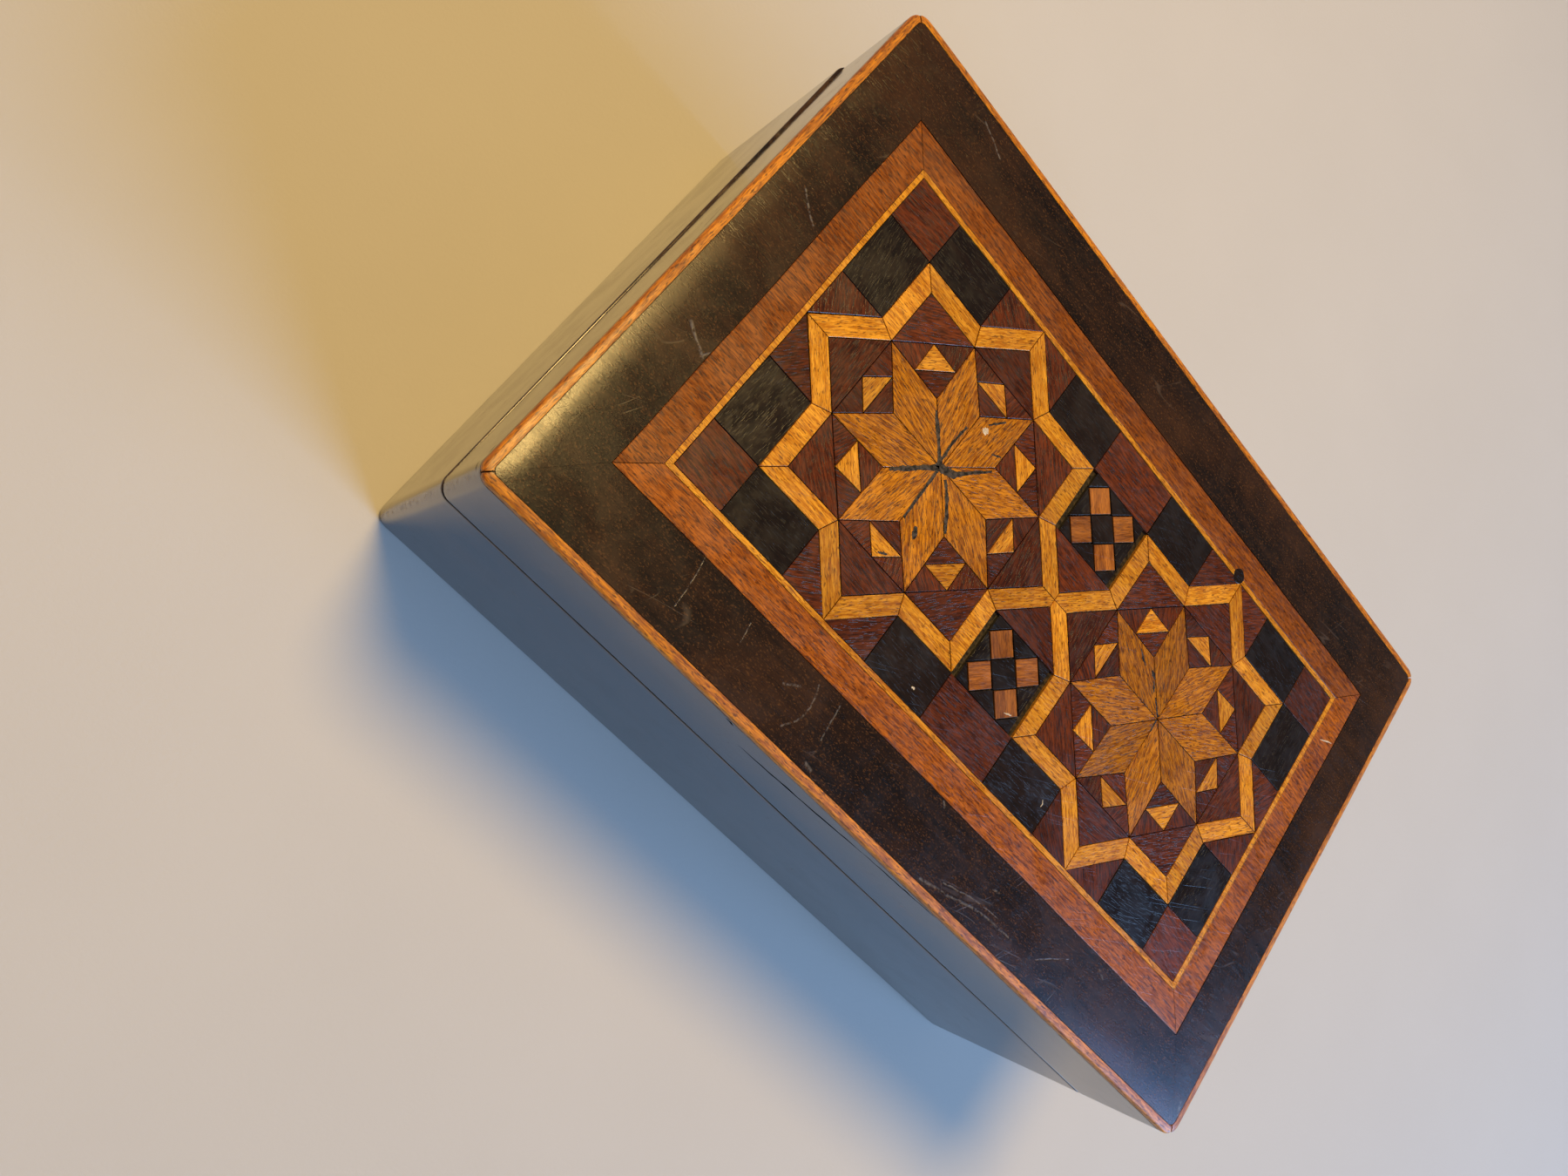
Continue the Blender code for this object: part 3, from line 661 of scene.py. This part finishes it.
def gritty(name, scale, dark, pale, roughness, depth=0.0, specular=0.5):
    """A dull, uneven material: for a crack's bottom, where its near black is painted shade with some dirt,
    and for a pale chip.
    """
    graph = material_graph(name)
    grit = graph.noise(graph.position(), scale, 3.0, 0.6)
    graph.surface(graph.mix(grit, srgb(*dark), srgb(*pale)), roughness)
    if depth:
        graph.bump(grit, depth, 0.6)
    graph.gloss(0.0, 0.3, specular)
    return graph.owner


def glue_material():
    """Old glue, polish and dirt, black in the joints."""
    graph = material_graph("old_glue")
    lumps = graph.noise(graph.position(), 1.4, 3.0, 0.6)
    colour = graph.mix(graph.between(lumps, 0.4, 0.7), srgb(16, 12, 10), srgb(66, 54, 44))
    graph.surface(colour, graph.between(lumps, 0.3, 0.7, 0.35, 0.65))
    graph.bump(lumps, 0.06, 0.8)
    graph.gloss(0.1, 0.3)
    return graph.owner


def brass_material():
    """Brass, dulled, with file marks."""
    graph = material_graph("brass")
    place = graph.position()
    tarnish = graph.noise(place, 0.5, 4.0, 0.6)
    colour = graph.mix(graph.between(tarnish, 0.35, 0.7), srgb(206, 168, 92), srgb(132, 98, 48))
    graph.surface(colour, graph.between(tarnish, 0.3, 0.7, 0.25, 0.5))
    graph.shader.inputs["Metallic"].default_value = 1.0
    graph.bump(graph.noise(graph.turned(place, 20, (0.2, 5.0, 5.0)), 1.0, 2.0, 0.5), 0.02, 0.6)
    return graph.owner


def floor_material():
    """A plain pale floor. Far from the box it glows faintly, to meet the pale room without a dark edge."""
    graph = material_graph("floor")
    place = graph.position()
    distance = graph.vector("DISTANCE", place, (0, 0, 0), "Value")
    glow = graph.between(distance, FLOOR_GLOW_NEAR, FLOOR_GLOW_FAR, 0.0, FLOOR_GLOW)
    graph.shader.inputs["Emission Color"].default_value = (*ROOM_COLOUR, 1)
    graph.feed(graph.shader.inputs["Emission Strength"], glow)
    cloud = graph.noise(place, 0.02, 3.0, 0.6)
    graph.surface(graph.mix(cloud, srgb(194, 190, 184), srgb(200, 196, 190)), 0.85)
    graph.bump(graph.noise(place, 1.2, 3.0, 0.6), 0.08, 0.5)
    return graph.owner


MATERIALS = {
    "honey": wood("honey", tint=0.2),
    "amber": wood("amber", tint=0.16),
    "stringing": wood("stringing", tint=0.1),
    "satinwood": wood("satinwood", tint=0.2),
    "chequer": wood("chequer", tint=0.15),
    "mahogany": wood("mahogany"),
    "ebony": wood("ebony", tint=0.25),
    "border": border_material(),
    "wall": wall_material(),
    "glue": glue_material(),
    # Near-black crack bottoms: painted shade in the cracks, with some dirt.
    "crack": gritty("crack_painted_shade", 2.0, (5, 4, 3), (13, 9, 7), 0.9, specular=0.05),
    "chip": gritty("pale_chip", 1.6, (140, 122, 100), (232, 218, 192), 0.6, 0.05),
    "brass": brass_material(),
}
# The slot of the pieces made of each material.
SLOTS = dict.fromkeys(("honey", "amber", "stringing", "chequer", "chip"), "boxwood")
SLOTS.update(dict.fromkeys(("border", "wall", "glue"), "ebonised"))
SLOTS.update({kind: kind for kind in ("satinwood", "mahogany", "ebony")})

# --- walls


def wall_profile(low, high, low_round, high_round):
    """Section through a wall's skin as (depth, height) points, its two outer arrises rounded."""
    turns = [step * math.pi / 6 for step in range(4)]
    profile = [(low_round * (1 - math.sin(t)), low + low_round * (1 - math.cos(t))) for t in turns]
    profile.append((0, low + low_round + SHADING_EDGE))
    profile += [(0, low + (high - low) * share) for share in (0.25, 0.5, 0.75)]
    profile.append((0, high - high_round - SHADING_EDGE))
    profile += [(high_round * (1 - math.cos(t)), high - high_round * (1 - math.sin(t))) for t in turns]
    return profile + [(SKIN, high), (SKIN, low)]


def wall_ring(name, profile, settle, replaced, body):
    """The polished skin round the walls, with rounded corners."""
    rings = []
    for side in SIDES:
        outer_line = side_line(BOX, CORNER_RADIUS, side)
        inner_line = side_line(grown(BOX, -SKIN), CORNER_RADIUS - SKIN, side)
        for outer_point, inner_point in list(zip(outer_line, inner_line))[:-1]:
            inward = (inner_point - outer_point) / SKIN
            ring = []
            for depth, height in profile:
                point = outer_point + inward * depth
                ring.append((point.x, point.y, height))
            rings.append(ring)
    ring_body = Body(settle)
    ring_body.loft(rings, new_cut(0), closed=True)
    piece = ring_body.finish(name, "wall", replaced, body)
    smooth(piece, 40)
    return piece


CRACK_DEPTH = 0.75
CRACK_CLEAR = 0.4  # how far a crack's cutter stands out of the wall
CRACK_TAPER = 0.4  # share of a crack's width that is left at its bottom
CRACK_LEAST = 0.05
CRACK_UNEVEN = 0.12


def crack(points, on_wall):
    """A tapering, jagged cutter for a crack in a wall; points are (along, height, width)."""
    cutter = Body(on_base)
    rings = []
    for along, height, width in points:
        near_x, near_y = on_wall(along, -CRACK_CLEAR)
        far_x, far_y = on_wall(along, CRACK_DEPTH)
        near_half, far_half = width / 2, width / 2 * CRACK_TAPER
        rings.append([
            (near_x, near_y, height - near_half),
            (near_x, near_y, height + near_half),
            (far_x, far_y, height + far_half),
            (far_x, far_y, height - far_half),
        ])
    cutter.loft(rings, new_cut(0))
    bmesh.ops.recalc_face_normals(cutter.bm, faces=cutter.bm.faces)
    # The cutter's near-black material, painted shade, passes to the faces of the carved crack.
    return new_object("crack", cutter.bm, MATERIALS["crack"])


def jagged(start, end, width, count, sag=0.0):
    """Points of a crack from start to end (along, height): thin at its ends, uneven between."""
    points = []
    for step in range(count + 1):
        share = step / count
        swell = math.sin(math.pi * share) ** 0.6
        along = start[0] + (end[0] - start[0]) * share
        height = start[1] + (end[1] - start[1]) * share - sag * math.sin(math.pi * share)
        height += dice.uniform(-CRACK_UNEVEN, CRACK_UNEVEN)
        points.append((along, height, CRACK_LEAST + width * swell * dice.uniform(0.6, 1.2)))
    return points


def on_front(along, depth):
    return along, BOX[2] + depth


def on_left(along, depth):
    return BOX[0] + LEDGE_NEAR + depth, along


CRACKS = (
    (on_front, jagged((-24, 56.6), (1.5, 61.0), 0.85, 22, 0.3)),
    (on_front, jagged((0.6, 61.0), (16, 62.9), 0.7, 14, 0.1)),
    (on_front, jagged((-30.5, 62.9), (-28.6, 62.3), 0.6, 4)),
    (on_left, jagged((-49, 61.4), (-47.5, 60.8), 0.45, 3)),
    (on_left, jagged((-46.5, 62.2), (-44.6, 61.6), 0.5, 4)),
    (on_left, jagged((-27.5, 51.0), (-25, 50.2), 0.4, 4)),
    (on_left, jagged((-1, 59.6), (4.5, 59.0), 0.3, 6)),
)

lid_profile = wall_profile(LID_LOW, STRINGING_LOW, 0.4, 0.08)
lid_skin = wall_ring("lid_skin", lid_profile, on_lid, [f"lid_veneer_{side}" for side in SIDES], "lid")
for on_wall, points in CRACKS:
    carve(lid_skin, crack(points, on_wall))
base_profile = wall_profile(0.0, BASE_TOP, 0.3, 0.22)
wall_ring("base_skin", base_profile, on_base, [f"base_veneer_{side}" for side in SIDES], "base")

# --- stringing, border, banding and light line

STRINGING_INNER = grown(BOX, -STRINGING_WIDTH)
STRINGING_INNER_RADIUS = CORNER_RADIUS - STRINGING_WIDTH
STRINGING_ROUNDING = 0.55
STRINGING_FOOT = 0.45  # how far it goes down behind its lower edge
# Tone shift of each banding strip: painted light at the front and right, painted shade at the back and left,
# as the light falls on the top.
BANDING_PAINTED_SHADING = {"front": 0.6, "right": 0.5, "back": -1.0, "left": -0.8}


def stringing_profile(x, y):
    """Rounded over at the arris, with a lower edge that wavers as hand-scraped stringing does."""
    low = STRINGING_LOW + 0.18 + 0.22 * noise.noise(Vector((x / 14, y / 14, 9.1)))
    inner_top = TOP - 0.02 - roll_off(x, y) * 0.75
    shoulder = inner_top - 0.12
    points = [(0.0, low - STRINGING_FOOT), (0.0, low), (0.0, shoulder - STRINGING_ROUNDING)]
    for angle in (22.5, 45, 67.5, 90):
        turn = math.radians(angle)
        share = STRINGING_ROUNDING / STRINGING_WIDTH * 1.1 * (1 - math.cos(turn))
        points.append((share, shoulder - STRINGING_ROUNDING * (1 - math.sin(turn))))
    return points + [(0.7, inner_top - 0.02), (1.0, inner_top), (1.0, low - STRINGING_FOOT)]


def border_profile(x, y):
    """Flat, with points across it that lower_border then lets down."""
    shares = [step / 10 for step in range(11)]
    return [(0.0, VENEER_LOW)] + [(share, TOP) for share in shares] + [(1.0, VENEER_LOW)]


def lower_border(piece):
    """Lets the border's top follow the wear towards the box's edges."""
    for vertex in piece.data.vertices:
        x, y, z = vertex.co / MM
        if z > (VENEER_LOW + TOP) / 2:
            vertex.co.z = (TOP - 0.03 - roll_off(x, y)) * MM


def flat_profile(sink):
    """A strip with softened arrises, a little below the top."""
    top = TOP - sink
    shoulder = top - ARRIS
    near = [(0.0, VENEER_LOW), (0.0, shoulder), (0.02, top)]
    points = near + [(1 - share, height) for share, height in reversed(near)]
    return lambda x, y: points


for side in SIDES:
    body = Body()
    inner = (grown(STRINGING_INNER, 0.04), STRINGING_INNER_RADIUS)
    cut = new_cut(90 * (SIDES.index(side) % 2), 0.4)
    band(body, side, (BOX, CORNER_RADIUS), inner, stringing_profile, cut, 0.16)
    smooth(body.finish(f"stringing_{side}_worn", "stringing", [f"stringing_{side}"]), 50)

    body = Body()
    outer = (grown(STRINGING_INNER, -0.06), STRINGING_INNER_RADIUS)
    band(body, side, outer, (grown(BANDING, JOINT), 0.0), border_profile, new_cut(0, 0.5), 0.02)
    piece = body.finish(f"border_{side}_worn", "border", [f"border_{side}"])
    lower_border(piece)
    smooth(piece, 50)

    body = Body()
    outer, inner = (grown(BANDING, -JOINT), 0.0), (grown(LIGHT_LINE, JOINT), 0.0)
    # Each strip's tone carries its side's painted light or shade.
    band(body, side, outer, inner, flat_profile(0.03), new_cut(0, 0.2, BANDING_PAINTED_SHADING[side]), JOINT)
    body.finish(f"banding_{side}_strip", "satinwood", [f"banding_{side}"])

for side in SIDES:
    body = Body()
    band(body, side, (LIGHT_LINE, 0.0), (grown(FIELD, 0.03), 0.0), flat_profile(0.02), new_cut(0, 0.4), 0.03)
    parts = ["back_left", "back_right"] if side == "back" else [side]
    body.finish(f"light_line_{side}_strip", "honey", [f"light_line_{part}" for part in parts])

# --- marquetry: medallions

BAND_WIDTH = 3.3
TIP = FIELD[3] + 0.2
SQUARE = TIP / math.sqrt(2)
INNER_SQUARE = SQUARE - BAND_WIDTH
INNER_TIP = INNER_SQUARE * math.sqrt(2)
STAR_NOTCH_AXIS = 11.2
STAR_NOTCH_DIAGONAL = 10.3
# Tone shift of each star: the right star is painted darker, as painted shade, because the lamp stands nearer
# the left.
STAR_PAINTED_SHADE = {"left": 0.1, "right": -1.3}


def polar(radius, angle):
    turn = math.radians(angle)
    return Vector((radius * math.cos(turn), radius * math.sin(turn)))


def notch_radius(square):
    """Distance to the inner corners of the eight-pointed outline made by two crossed squares."""
    return square / math.cos(math.radians(22.5))


def strapwork():
    """Sixteen mitred pieces round the medallion: outline and grain direction."""
    pieces = []
    for k in range(8):
        tip, inner_tip = polar(TIP, 45 * k), polar(INNER_TIP, 45 * k)
        for sign in (-1, 1):
            angle = 45 * k + 22.5 * sign
            notch = polar(notch_radius(SQUARE), angle)
            inner_notch = polar(notch_radius(INNER_SQUARE), angle)
            run = notch - tip
            along = math.degrees(math.atan2(run.y, run.x))
            turn = 0 if k % 2 else along
            pieces.append(([tip, notch, inner_notch, inner_tip], turn))
    return pieces


def star_notch(k):
    return polar(STAR_NOTCH_AXIS if k % 2 == 0 else STAR_NOTCH_DIAGONAL, 45 * k)


def star():
    """Eight rhombi that meet at the centre."""
    pieces = []
    for k in range(8):
        tip = polar(notch_radius(INNER_SQUARE), 45 * k + 22.5)
        lean = dice.choice((-14, -8, 12, 18))
        pieces.append(([Vector((0, 0)), star_notch(k), tip, star_notch(k + 1)], 45 * k + 22.5 + lean))
    return pieces


def ground():
    """Dark and light veneers between the star and the strapwork, as (outline, grain, wood)."""
    pieces = []
    for k in range(8):
        left = polar(notch_radius(INNER_SQUARE), 45 * k + 22.5)
        right = polar(notch_radius(INNER_SQUARE), 45 * k - 22.5)
        apex = star_notch(k)
        outer = polar(INNER_TIP, 45 * k)
        left_middle, right_middle = apex.lerp(left, 0.5), apex.lerp(right, 0.5)
        base_middle = left.lerp(right, 0.5)
        spread = dice.uniform(-30, 30)
        pieces.append(([apex, right_middle, left_middle], 45 * k + 90, "mahogany"))
        pieces.append(([right_middle, right, base_middle], 45 * k + spread, "mahogany"))
        pieces.append(([left_middle, base_middle, left], 45 * k - spread, "mahogany"))
        pieces.append(([right_middle, base_middle, left_middle], 45 * k + 90, "honey"))
        pieces.append(([right, outer, left], 45 * k + 90 + spread * 0.4, "mahogany"))
    return pieces


def moved(outline, centre):
    return [point + centre for point in outline]


def in_half(outline, side):
    """Keeps a medallion's veneer on its own half of the top, and inside the light line."""
    edges = (
        ((MIDDLE, 0), (-1, 0) if side == "left" else (1, 0)),
        ((0, FIELD[3]), (0, -1)),
        ((0, FIELD[2]), (0, 1)),
        ((FIELD[0], 0), (1, 0)),
        ((FIELD[1], 0), (-1, 0)),
    )
    for point, inward in edges:
        outline = clipped(outline, Vector(point), Vector(inward))
    return outline


for side, middle in MEDALLIONS.items():
    centre = Vector((middle.x, 0))
    body = Body()
    for outline, turn in strapwork():
        veneer(body, in_half(moved(outline, centre), side), new_cut(turn))
    body.finish(f"strapwork_{side}_veneers", "honey", [f"strapwork_{side}"])
    body = Body()
    for outline, turn in star():
        # The star's tone carries its painted shade.
        veneer(body, moved(outline, centre), new_cut(turn, 0.8, STAR_PAINTED_SHADE[side]))
    body.finish(f"star_{side}_veneers", "amber", [f"star_{side}"])
    dark_ground, light_ground = Body(), Body()
    for outline, turn, kind in ground():
        target = light_ground if kind == "honey" else dark_ground
        veneer(target, moved(outline, centre), new_cut(turn))
    dark_ground.finish(f"ground_{side}_dark", "mahogany", [f"star_ground_{side}"])
    light_ground.finish(f"ground_{side}_light", "honey")

# --- marquetry: field round the medallions

NOTCH_NEAR = TIP - SQUARE
HALF_PITCH = MEDALLIONS["right"].x - MIDDLE


def shape(*points):
    return [Vector(point) for point in points]


def patch(low_x, high_x, low_y, high_y):
    return shape((low_x, low_y), (high_x, low_y), (high_x, high_y), (low_x, high_y))


def corner_field():
    """Veneers outside one medallion's outer quarter, for the quarter with x and y above 0."""
    end_x, end_y = FIELD[1] - MIDDLE, FIELD[3]
    near_x, far_x = HALF_PITCH + NOTCH_NEAR, HALF_PITCH + SQUARE
    return [
        (patch(far_x, end_x, SQUARE, end_y), 0, "mahogany"),
        (patch(near_x, far_x, SQUARE, end_y), 0, "ebony"),
        (patch(far_x, end_x, NOTCH_NEAR, SQUARE), 90, "ebony"),
        (shape((HALF_PITCH, end_y), (near_x, SQUARE), (near_x, end_y)), 40, "mahogany"),
        (shape((far_x, NOTCH_NEAR), (end_x, 0), (end_x, NOTCH_NEAR)), 60, "mahogany"),
    ]


def middle_field():
    """Veneers between the medallions, for the half with y above 0, apart from the chequer."""
    end_y = FIELD[3]
    near_x, far_x = HALF_PITCH - SQUARE, HALF_PITCH - NOTCH_NEAR
    triangle = shape((-near_x, NOTCH_NEAR), (0, NOTCH_NEAR - near_x), (near_x, NOTCH_NEAR))
    pieces = [
        (patch(-near_x, near_x, SQUARE, end_y), 0, "mahogany"),
        (triangle, 0, "mahogany"),
    ]
    for sign in (-1, 1):
        low_x, high_x = sorted((sign * near_x, sign * far_x))
        pieces.append((patch(low_x, high_x, SQUARE, end_y), 0, "ebony"))
        triangle = shape((sign * HALF_PITCH, end_y), (sign * far_x, SQUARE), (sign * far_x, end_y))
        pieces.append((triangle, 40 * sign, "mahogany"))
    return pieces


def chequer():
    """Four light diamonds on black in a square between the medallions, for y above 0."""
    middle_y, half_y = (NOTCH_NEAR + SQUARE) / 2, (SQUARE - NOTCH_NEAR) / 2
    cell = half_y / 2
    wide = cell * 1.04
    pieces = []
    for column in (-1, 1):
        for row in (-1, 1):
            centre = Vector((column * wide, middle_y + row * cell))
            diamond = [centre + polar(cell - 0.1, 90 * k) for k in range(4)]
            pieces.append((diamond, 45 * column * row, "chequer"))
    middle = shape((wide, middle_y), (0, middle_y + cell), (-wide, middle_y), (0, middle_y - cell))
    pieces.append((middle, 0, "ebony"))
    for row in (-1, 1):
        edge_y = middle_y + row * half_y
        pieces.append((shape((-wide, edge_y), (0, middle_y + row * cell), (wide, edge_y)), 0, "ebony"))
    for column in (-1, 1):
        inner_x, edge_x = column * wide, column * 2 * wide
        triangle = shape((edge_x, middle_y - cell), (inner_x, middle_y), (edge_x, middle_y + cell))
        pieces.append((triangle, 90, "ebony"))
        for row in (-1, 1):
            edge_y = middle_y + row * half_y
            corner = shape((inner_x, edge_y), (edge_x, middle_y + row * cell), (edge_x, edge_y))
            pieces.append((corner, 0, "ebony"))
    return pieces


def mirrored(outline, sign_x, sign_y):
    """A quarter's outline turned over into another quarter, and moved to its place."""
    return [Vector((point.x * sign_x + MIDDLE, point.y * sign_y)) for point in outline]


field_bodies = {
    (end, kind): Body() for end in ("front", "back") for kind in ("mahogany", "ebony", "chequer")
}
for end, sign_y in (("front", -1), ("back", 1)):
    for sign_x in (-1, 1):
        for outline, turn, kind in corner_field():
            turn = turn * sign_x * sign_y + dice.uniform(-8, 8)
            veneer(field_bodies[end, kind], mirrored(outline, sign_x, sign_y), new_cut(turn))
    for outline, turn, kind in middle_field() + chequer():
        turn = turn * sign_y + dice.uniform(-6, 6)
        veneer(field_bodies[end, kind], mirrored(outline, 1, sign_y), new_cut(turn))
for (end, kind), body in field_bodies.items():
    replaced = {
        "mahogany": [f"field_{end}_{part}" for part in ("left", "middle", "right")],
        "ebony": [],
        "chequer": [f"chequer_{end}"],
    }[kind]
    body.finish(f"field_{end}_{kind}", kind, replaced)

# --- bed under the veneers, glue in the cracks, plug


def glue_bed():
    """The dark bed seen in the joints between veneers."""
    body = Body()
    bed = grown(BOX, -1.2)
    rings = []
    for height in (VENEER_LOW - 0.4, BED_TOP):
        ring = []
        for side in SIDES:
            ring += [(point.x, point.y, height) for point in side_line(bed, 1.0, side)[:-1]]
        rings.append(ring)
    body.loft(rings, new_cut(0))
    body.finish("glue_bed", "glue")


glue_bed()

# Old glue and dirt in the stars' shrinkage cracks: places from the star's centre, and the line's width.
GLUE_LINES = {
    "left": (
        ((-0.4, 0.3, 0.9), (-2.4, 2.2, 0.5), (-4.4, 4.2, 0.75), (-6.6, 6.2, 0.35)),
        ((-0.2, -0.2, 0.9), (-2.6, -2.6, 0.75), (-4.7, -4.9, 0.8), (-6.7, -7.1, 0.35)),
        ((-1.0, -0.4, 0.6), (0.4, 0.1, 1.5), (2.3, 0.8, 1.2), (3.5, 2.1, 0.7), (5.5, 4.5, 0.5),
         (7.6, 6.8, 0.3)),
        ((1.8, -0.8, 0.5), (3.4, -2.2, 0.6), (5.2, -4.3, 0.65), (7.5, -7.4, 0.4)),
        ((-0.7, 0.9, 0.55), (-0.9, 4.5, 0.5), (-0.6, 8.9, 0.45)),
        ((-0.1, -0.6, 0.6), (0.0, -5.0, 0.5), (0.1, -11.3, 0.35)),
        ((2.0, 11.4, 0.25), (3.2, 13.0, 0.45), (4.3, 14.4, 0.2)),
        ((2.6, -9.7, 0.5), (3.1, -10.6, 1.1), (3.6, -11.6, 0.4)),
        ((5.4, 8.4, 0.2), (6.4, 9.0, 0.4), (7.2, 9.4, 0.2)),
        ((0.2, -17.2, 0.2), (1.1, -16.6, 0.4), (1.8, -16.2, 0.2)),
    ),
    "right": (
        ((-0.3, 0.3, 0.5), (-1.4, 1.2, 0.35), (-3.0, 2.7, 0.2)),
        ((-0.2, -0.3, 0.4), (0.0, -3.0, 0.2)),
        ((-10.4, 6.4, 0.2), (-9.2, 5.6, 0.45), (-7.6, 4.9, 0.2)),
        ((-6.2, 5.4, 0.3), (-5.6, 5.0, 0.7), (-4.6, 4.6, 0.25)),
        ((-4.9, 4.4, 0.2), (-4.1, 3.4, 0.4), (-3.6, 2.6, 0.2)),
    ),
}
# Pale chips in the veneers and the dark ground: points from the same centres.
CHIPS = {
    "left": (
        ((1.7, 10.0, 0.5), (2.2, 10.3, 1.1), (2.7, 10.7, 0.6)),
        ((17.6, -28.0, 0.2), (17.9, -27.8, 0.35), (18.2, -28.1, 0.15)),
    ),
    "right": (
        ((-10.8, -25.2, 0.1), (-10.4, -25.8, 0.18), (-10.5, -26.4, 0.1)),
        ((-25.4, -19.8, 0.12), (-24.6, -19.4, 0.3), (-23.9, -19.2, 0.12)),
        ((33.4, 22.9, 0.1), (35.0, 23.8, 0.28), (36.4, 24.5, 0.1)),
    ),
}


MARK_STEPS = 6  # between two given points
# Section of a ridge: share of its half width, and depth below the top.
MARK_PROFILE = ((-1, 0.4), (-1, 0.022), (-0.5, 0.006), (0.5, 0.006), (1, 0.022), (1, 0.4))


def thin_marks(name, marks, kind):
    """Uneven little ridges that follow the given lines, just proud of the veneers."""
    body = Body()
    for side, lines in marks.items():
        centre_x = MEDALLIONS[side].x
        for line in lines:
            rings = []
            for (x0, y0, width0), (x1, y1, width1) in zip(line, line[1:]):
                for step in range(MARK_STEPS):
                    share = step / MARK_STEPS
                    x, y = x0 + (x1 - x0) * share, y0 + (y1 - y0) * share
                    half = (width0 + (width1 - width0) * share) * dice.uniform(0.38, 0.62)
                    across = Vector((y0 - y1, x1 - x0)).normalized()
                    jitter = dice.uniform(-0.06, 0.06)
                    ring = []
                    for reach, height in MARK_PROFILE:
                        offset = across * (reach * half + jitter)
                        ring.append((centre_x + x + offset.x, y + offset.y, TOP - height))
                    rings.append(ring)
            body.loft(rings, new_cut(0))
    body.finish(name, kind)


thin_marks("glue_lines", GLUE_LINES, "glue")
thin_marks("pale_chips", CHIPS, "chip")

PLUG_SIDES = 32
# The peg's rings above its foot: share of its radius, and depth below the top.
PLUG_RINGS = ((1.0, 0.04), (0.97, 0.012), (0.9, 0.004), (0.45, 0.001))


def plug():
    """The round ebony peg, its top slightly domed and worn at the edge."""
    centre = (PLUG_LOW + PLUG_HIGH) / 2
    radius = (PLUG_HIGH.x - PLUG_LOW.x) / 2
    body = Body()
    rings = []
    for share, height in [(1.0, PLUG_LOW.z)] + [(share, TOP - depth) for share, depth in PLUG_RINGS]:
        ring = []
        for step in range(PLUG_SIDES):
            uneven = 1 + 0.03 * math.sin(step * 0.9)
            edge = polar(radius * share * uneven, 360 * step / PLUG_SIDES)
            ring.append((centre.x + edge.x, centre.y + edge.y, height))
        rings.append(ring)
    body.loft(rings, new_cut(10))
    smooth(body.finish("ebony_peg", "ebony", ["ebony_plug"]), 60)


plug()

# --- solid parts of the frame that stay


def dress(nodes, material, edge=0.25):
    """Gives CAD nodes a finished material and softened edges."""
    for name in nodes:
        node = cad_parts[name]
        for slot in node.material_slots:
            slot.material = material
        bevel = node.modifiers.new("soft_edges", "BEVEL")
        bevel.width = edge * MM
        bevel.segments = 2
        bevel.limit_method = "ANGLE"
        bevel.harden_normals = True


for nodes, kind, axis in (
    ("base_board_front base_board_back lid_rail_front lid_rail_back", "mahogany", "x"),
    ("base_board_left base_board_right lid_rail_left lid_rail_right cam_plate", "mahogany", "y"),
    ("bottom_board lid_panel runner_front runner_back", "oak", "x"),
    ("partition lock_cover secret_slide", "oak", "y"),
    ("bolt_guide lock_bolt", "oak", "z"),
):
    dress(nodes.split(), wood(kind, axis))
dress(["bolt_pin"], MATERIALS["brass"], 0.15)

# --- floor, light and camera


def make_floor():
    bm = bmesh.new()
    bmesh.ops.create_grid(bm, x_segments=8, y_segments=8, size=FLOOR_HALF)
    floor = new_object("floor", bm, floor_material())
    floor.location.z = -FLOOR_GAP


def area_light(name, direction, distance, size, watts, colour):
    """A soft round light, its distance and width in metres, that faces the box from a direction."""
    light = bpy.data.lights.new(name, "AREA")
    light.shape = "DISK"
    light.size = size
    light.energy = watts
    light.color = colour
    lamp = bpy.data.objects.new(name, light)
    back = Vector(direction).normalized()
    lamp.location = back * distance
    lamp.rotation_euler = back.to_track_quat("Z", "Y").to_euler()
    lamp.visible_camera = False
    bpy.context.scene.collection.objects.link(lamp)


def pale_room():
    """Even light from pale walls, dimmer overhead."""
    graph = Graph(bpy.data.worlds.new("room"), "Background")
    height = graph.split(graph.node("TexCoord", {}, "Generated"))["Z"]
    strength = graph.between(height, *ROOM_FADE, ROOM_HORIZON, ROOM_OVERHEAD)
    graph.feed(graph.shader.inputs["Strength"], strength)
    graph.shader.inputs["Color"].default_value = (*ROOM_COLOUR, 1)
    bpy.context.scene.world = graph.owner


make_floor()
area_light("lamp", (-0.22, 0.20, 0.80), 0.86, 0.26, 6.8, (1.0, 0.66, 0.22))
area_light("window", (0.85, -0.22, 0.44), 1.6, 1.1, 33.0, (0.33, 0.58, 1.0))
area_light("sky", (0.76, 0.03, 0.64), 1.2, 0.36, 1.6, (0.2, 0.45, 1.0))
pale_room()
bpy.context.scene.view_settings.view_transform = "Standard"

CAMERA_PLACE = Vector((-92.97, -90.64, 212.71)) * MM
CAMERA_AIM = Vector((-36.39, -31.57, 65.0)) * MM
CAMERA_ROLL = 85.91
LENS = 28.09

camera_data = bpy.data.cameras.new("camera")
camera_data.lens = LENS
camera_data.sensor_width = 36.0
camera_data.clip_start = 0.01
camera = bpy.data.objects.new("camera", camera_data)
camera.location = CAMERA_PLACE
look = (CAMERA_AIM - CAMERA_PLACE).to_track_quat("-Z", "Y").to_matrix().to_4x4()
camera.rotation_euler = (look @ Matrix.Rotation(math.radians(CAMERA_ROLL), 4, "Z")).to_euler()
bpy.context.scene.collection.objects.link(camera)
bpy.context.scene.camera = camera
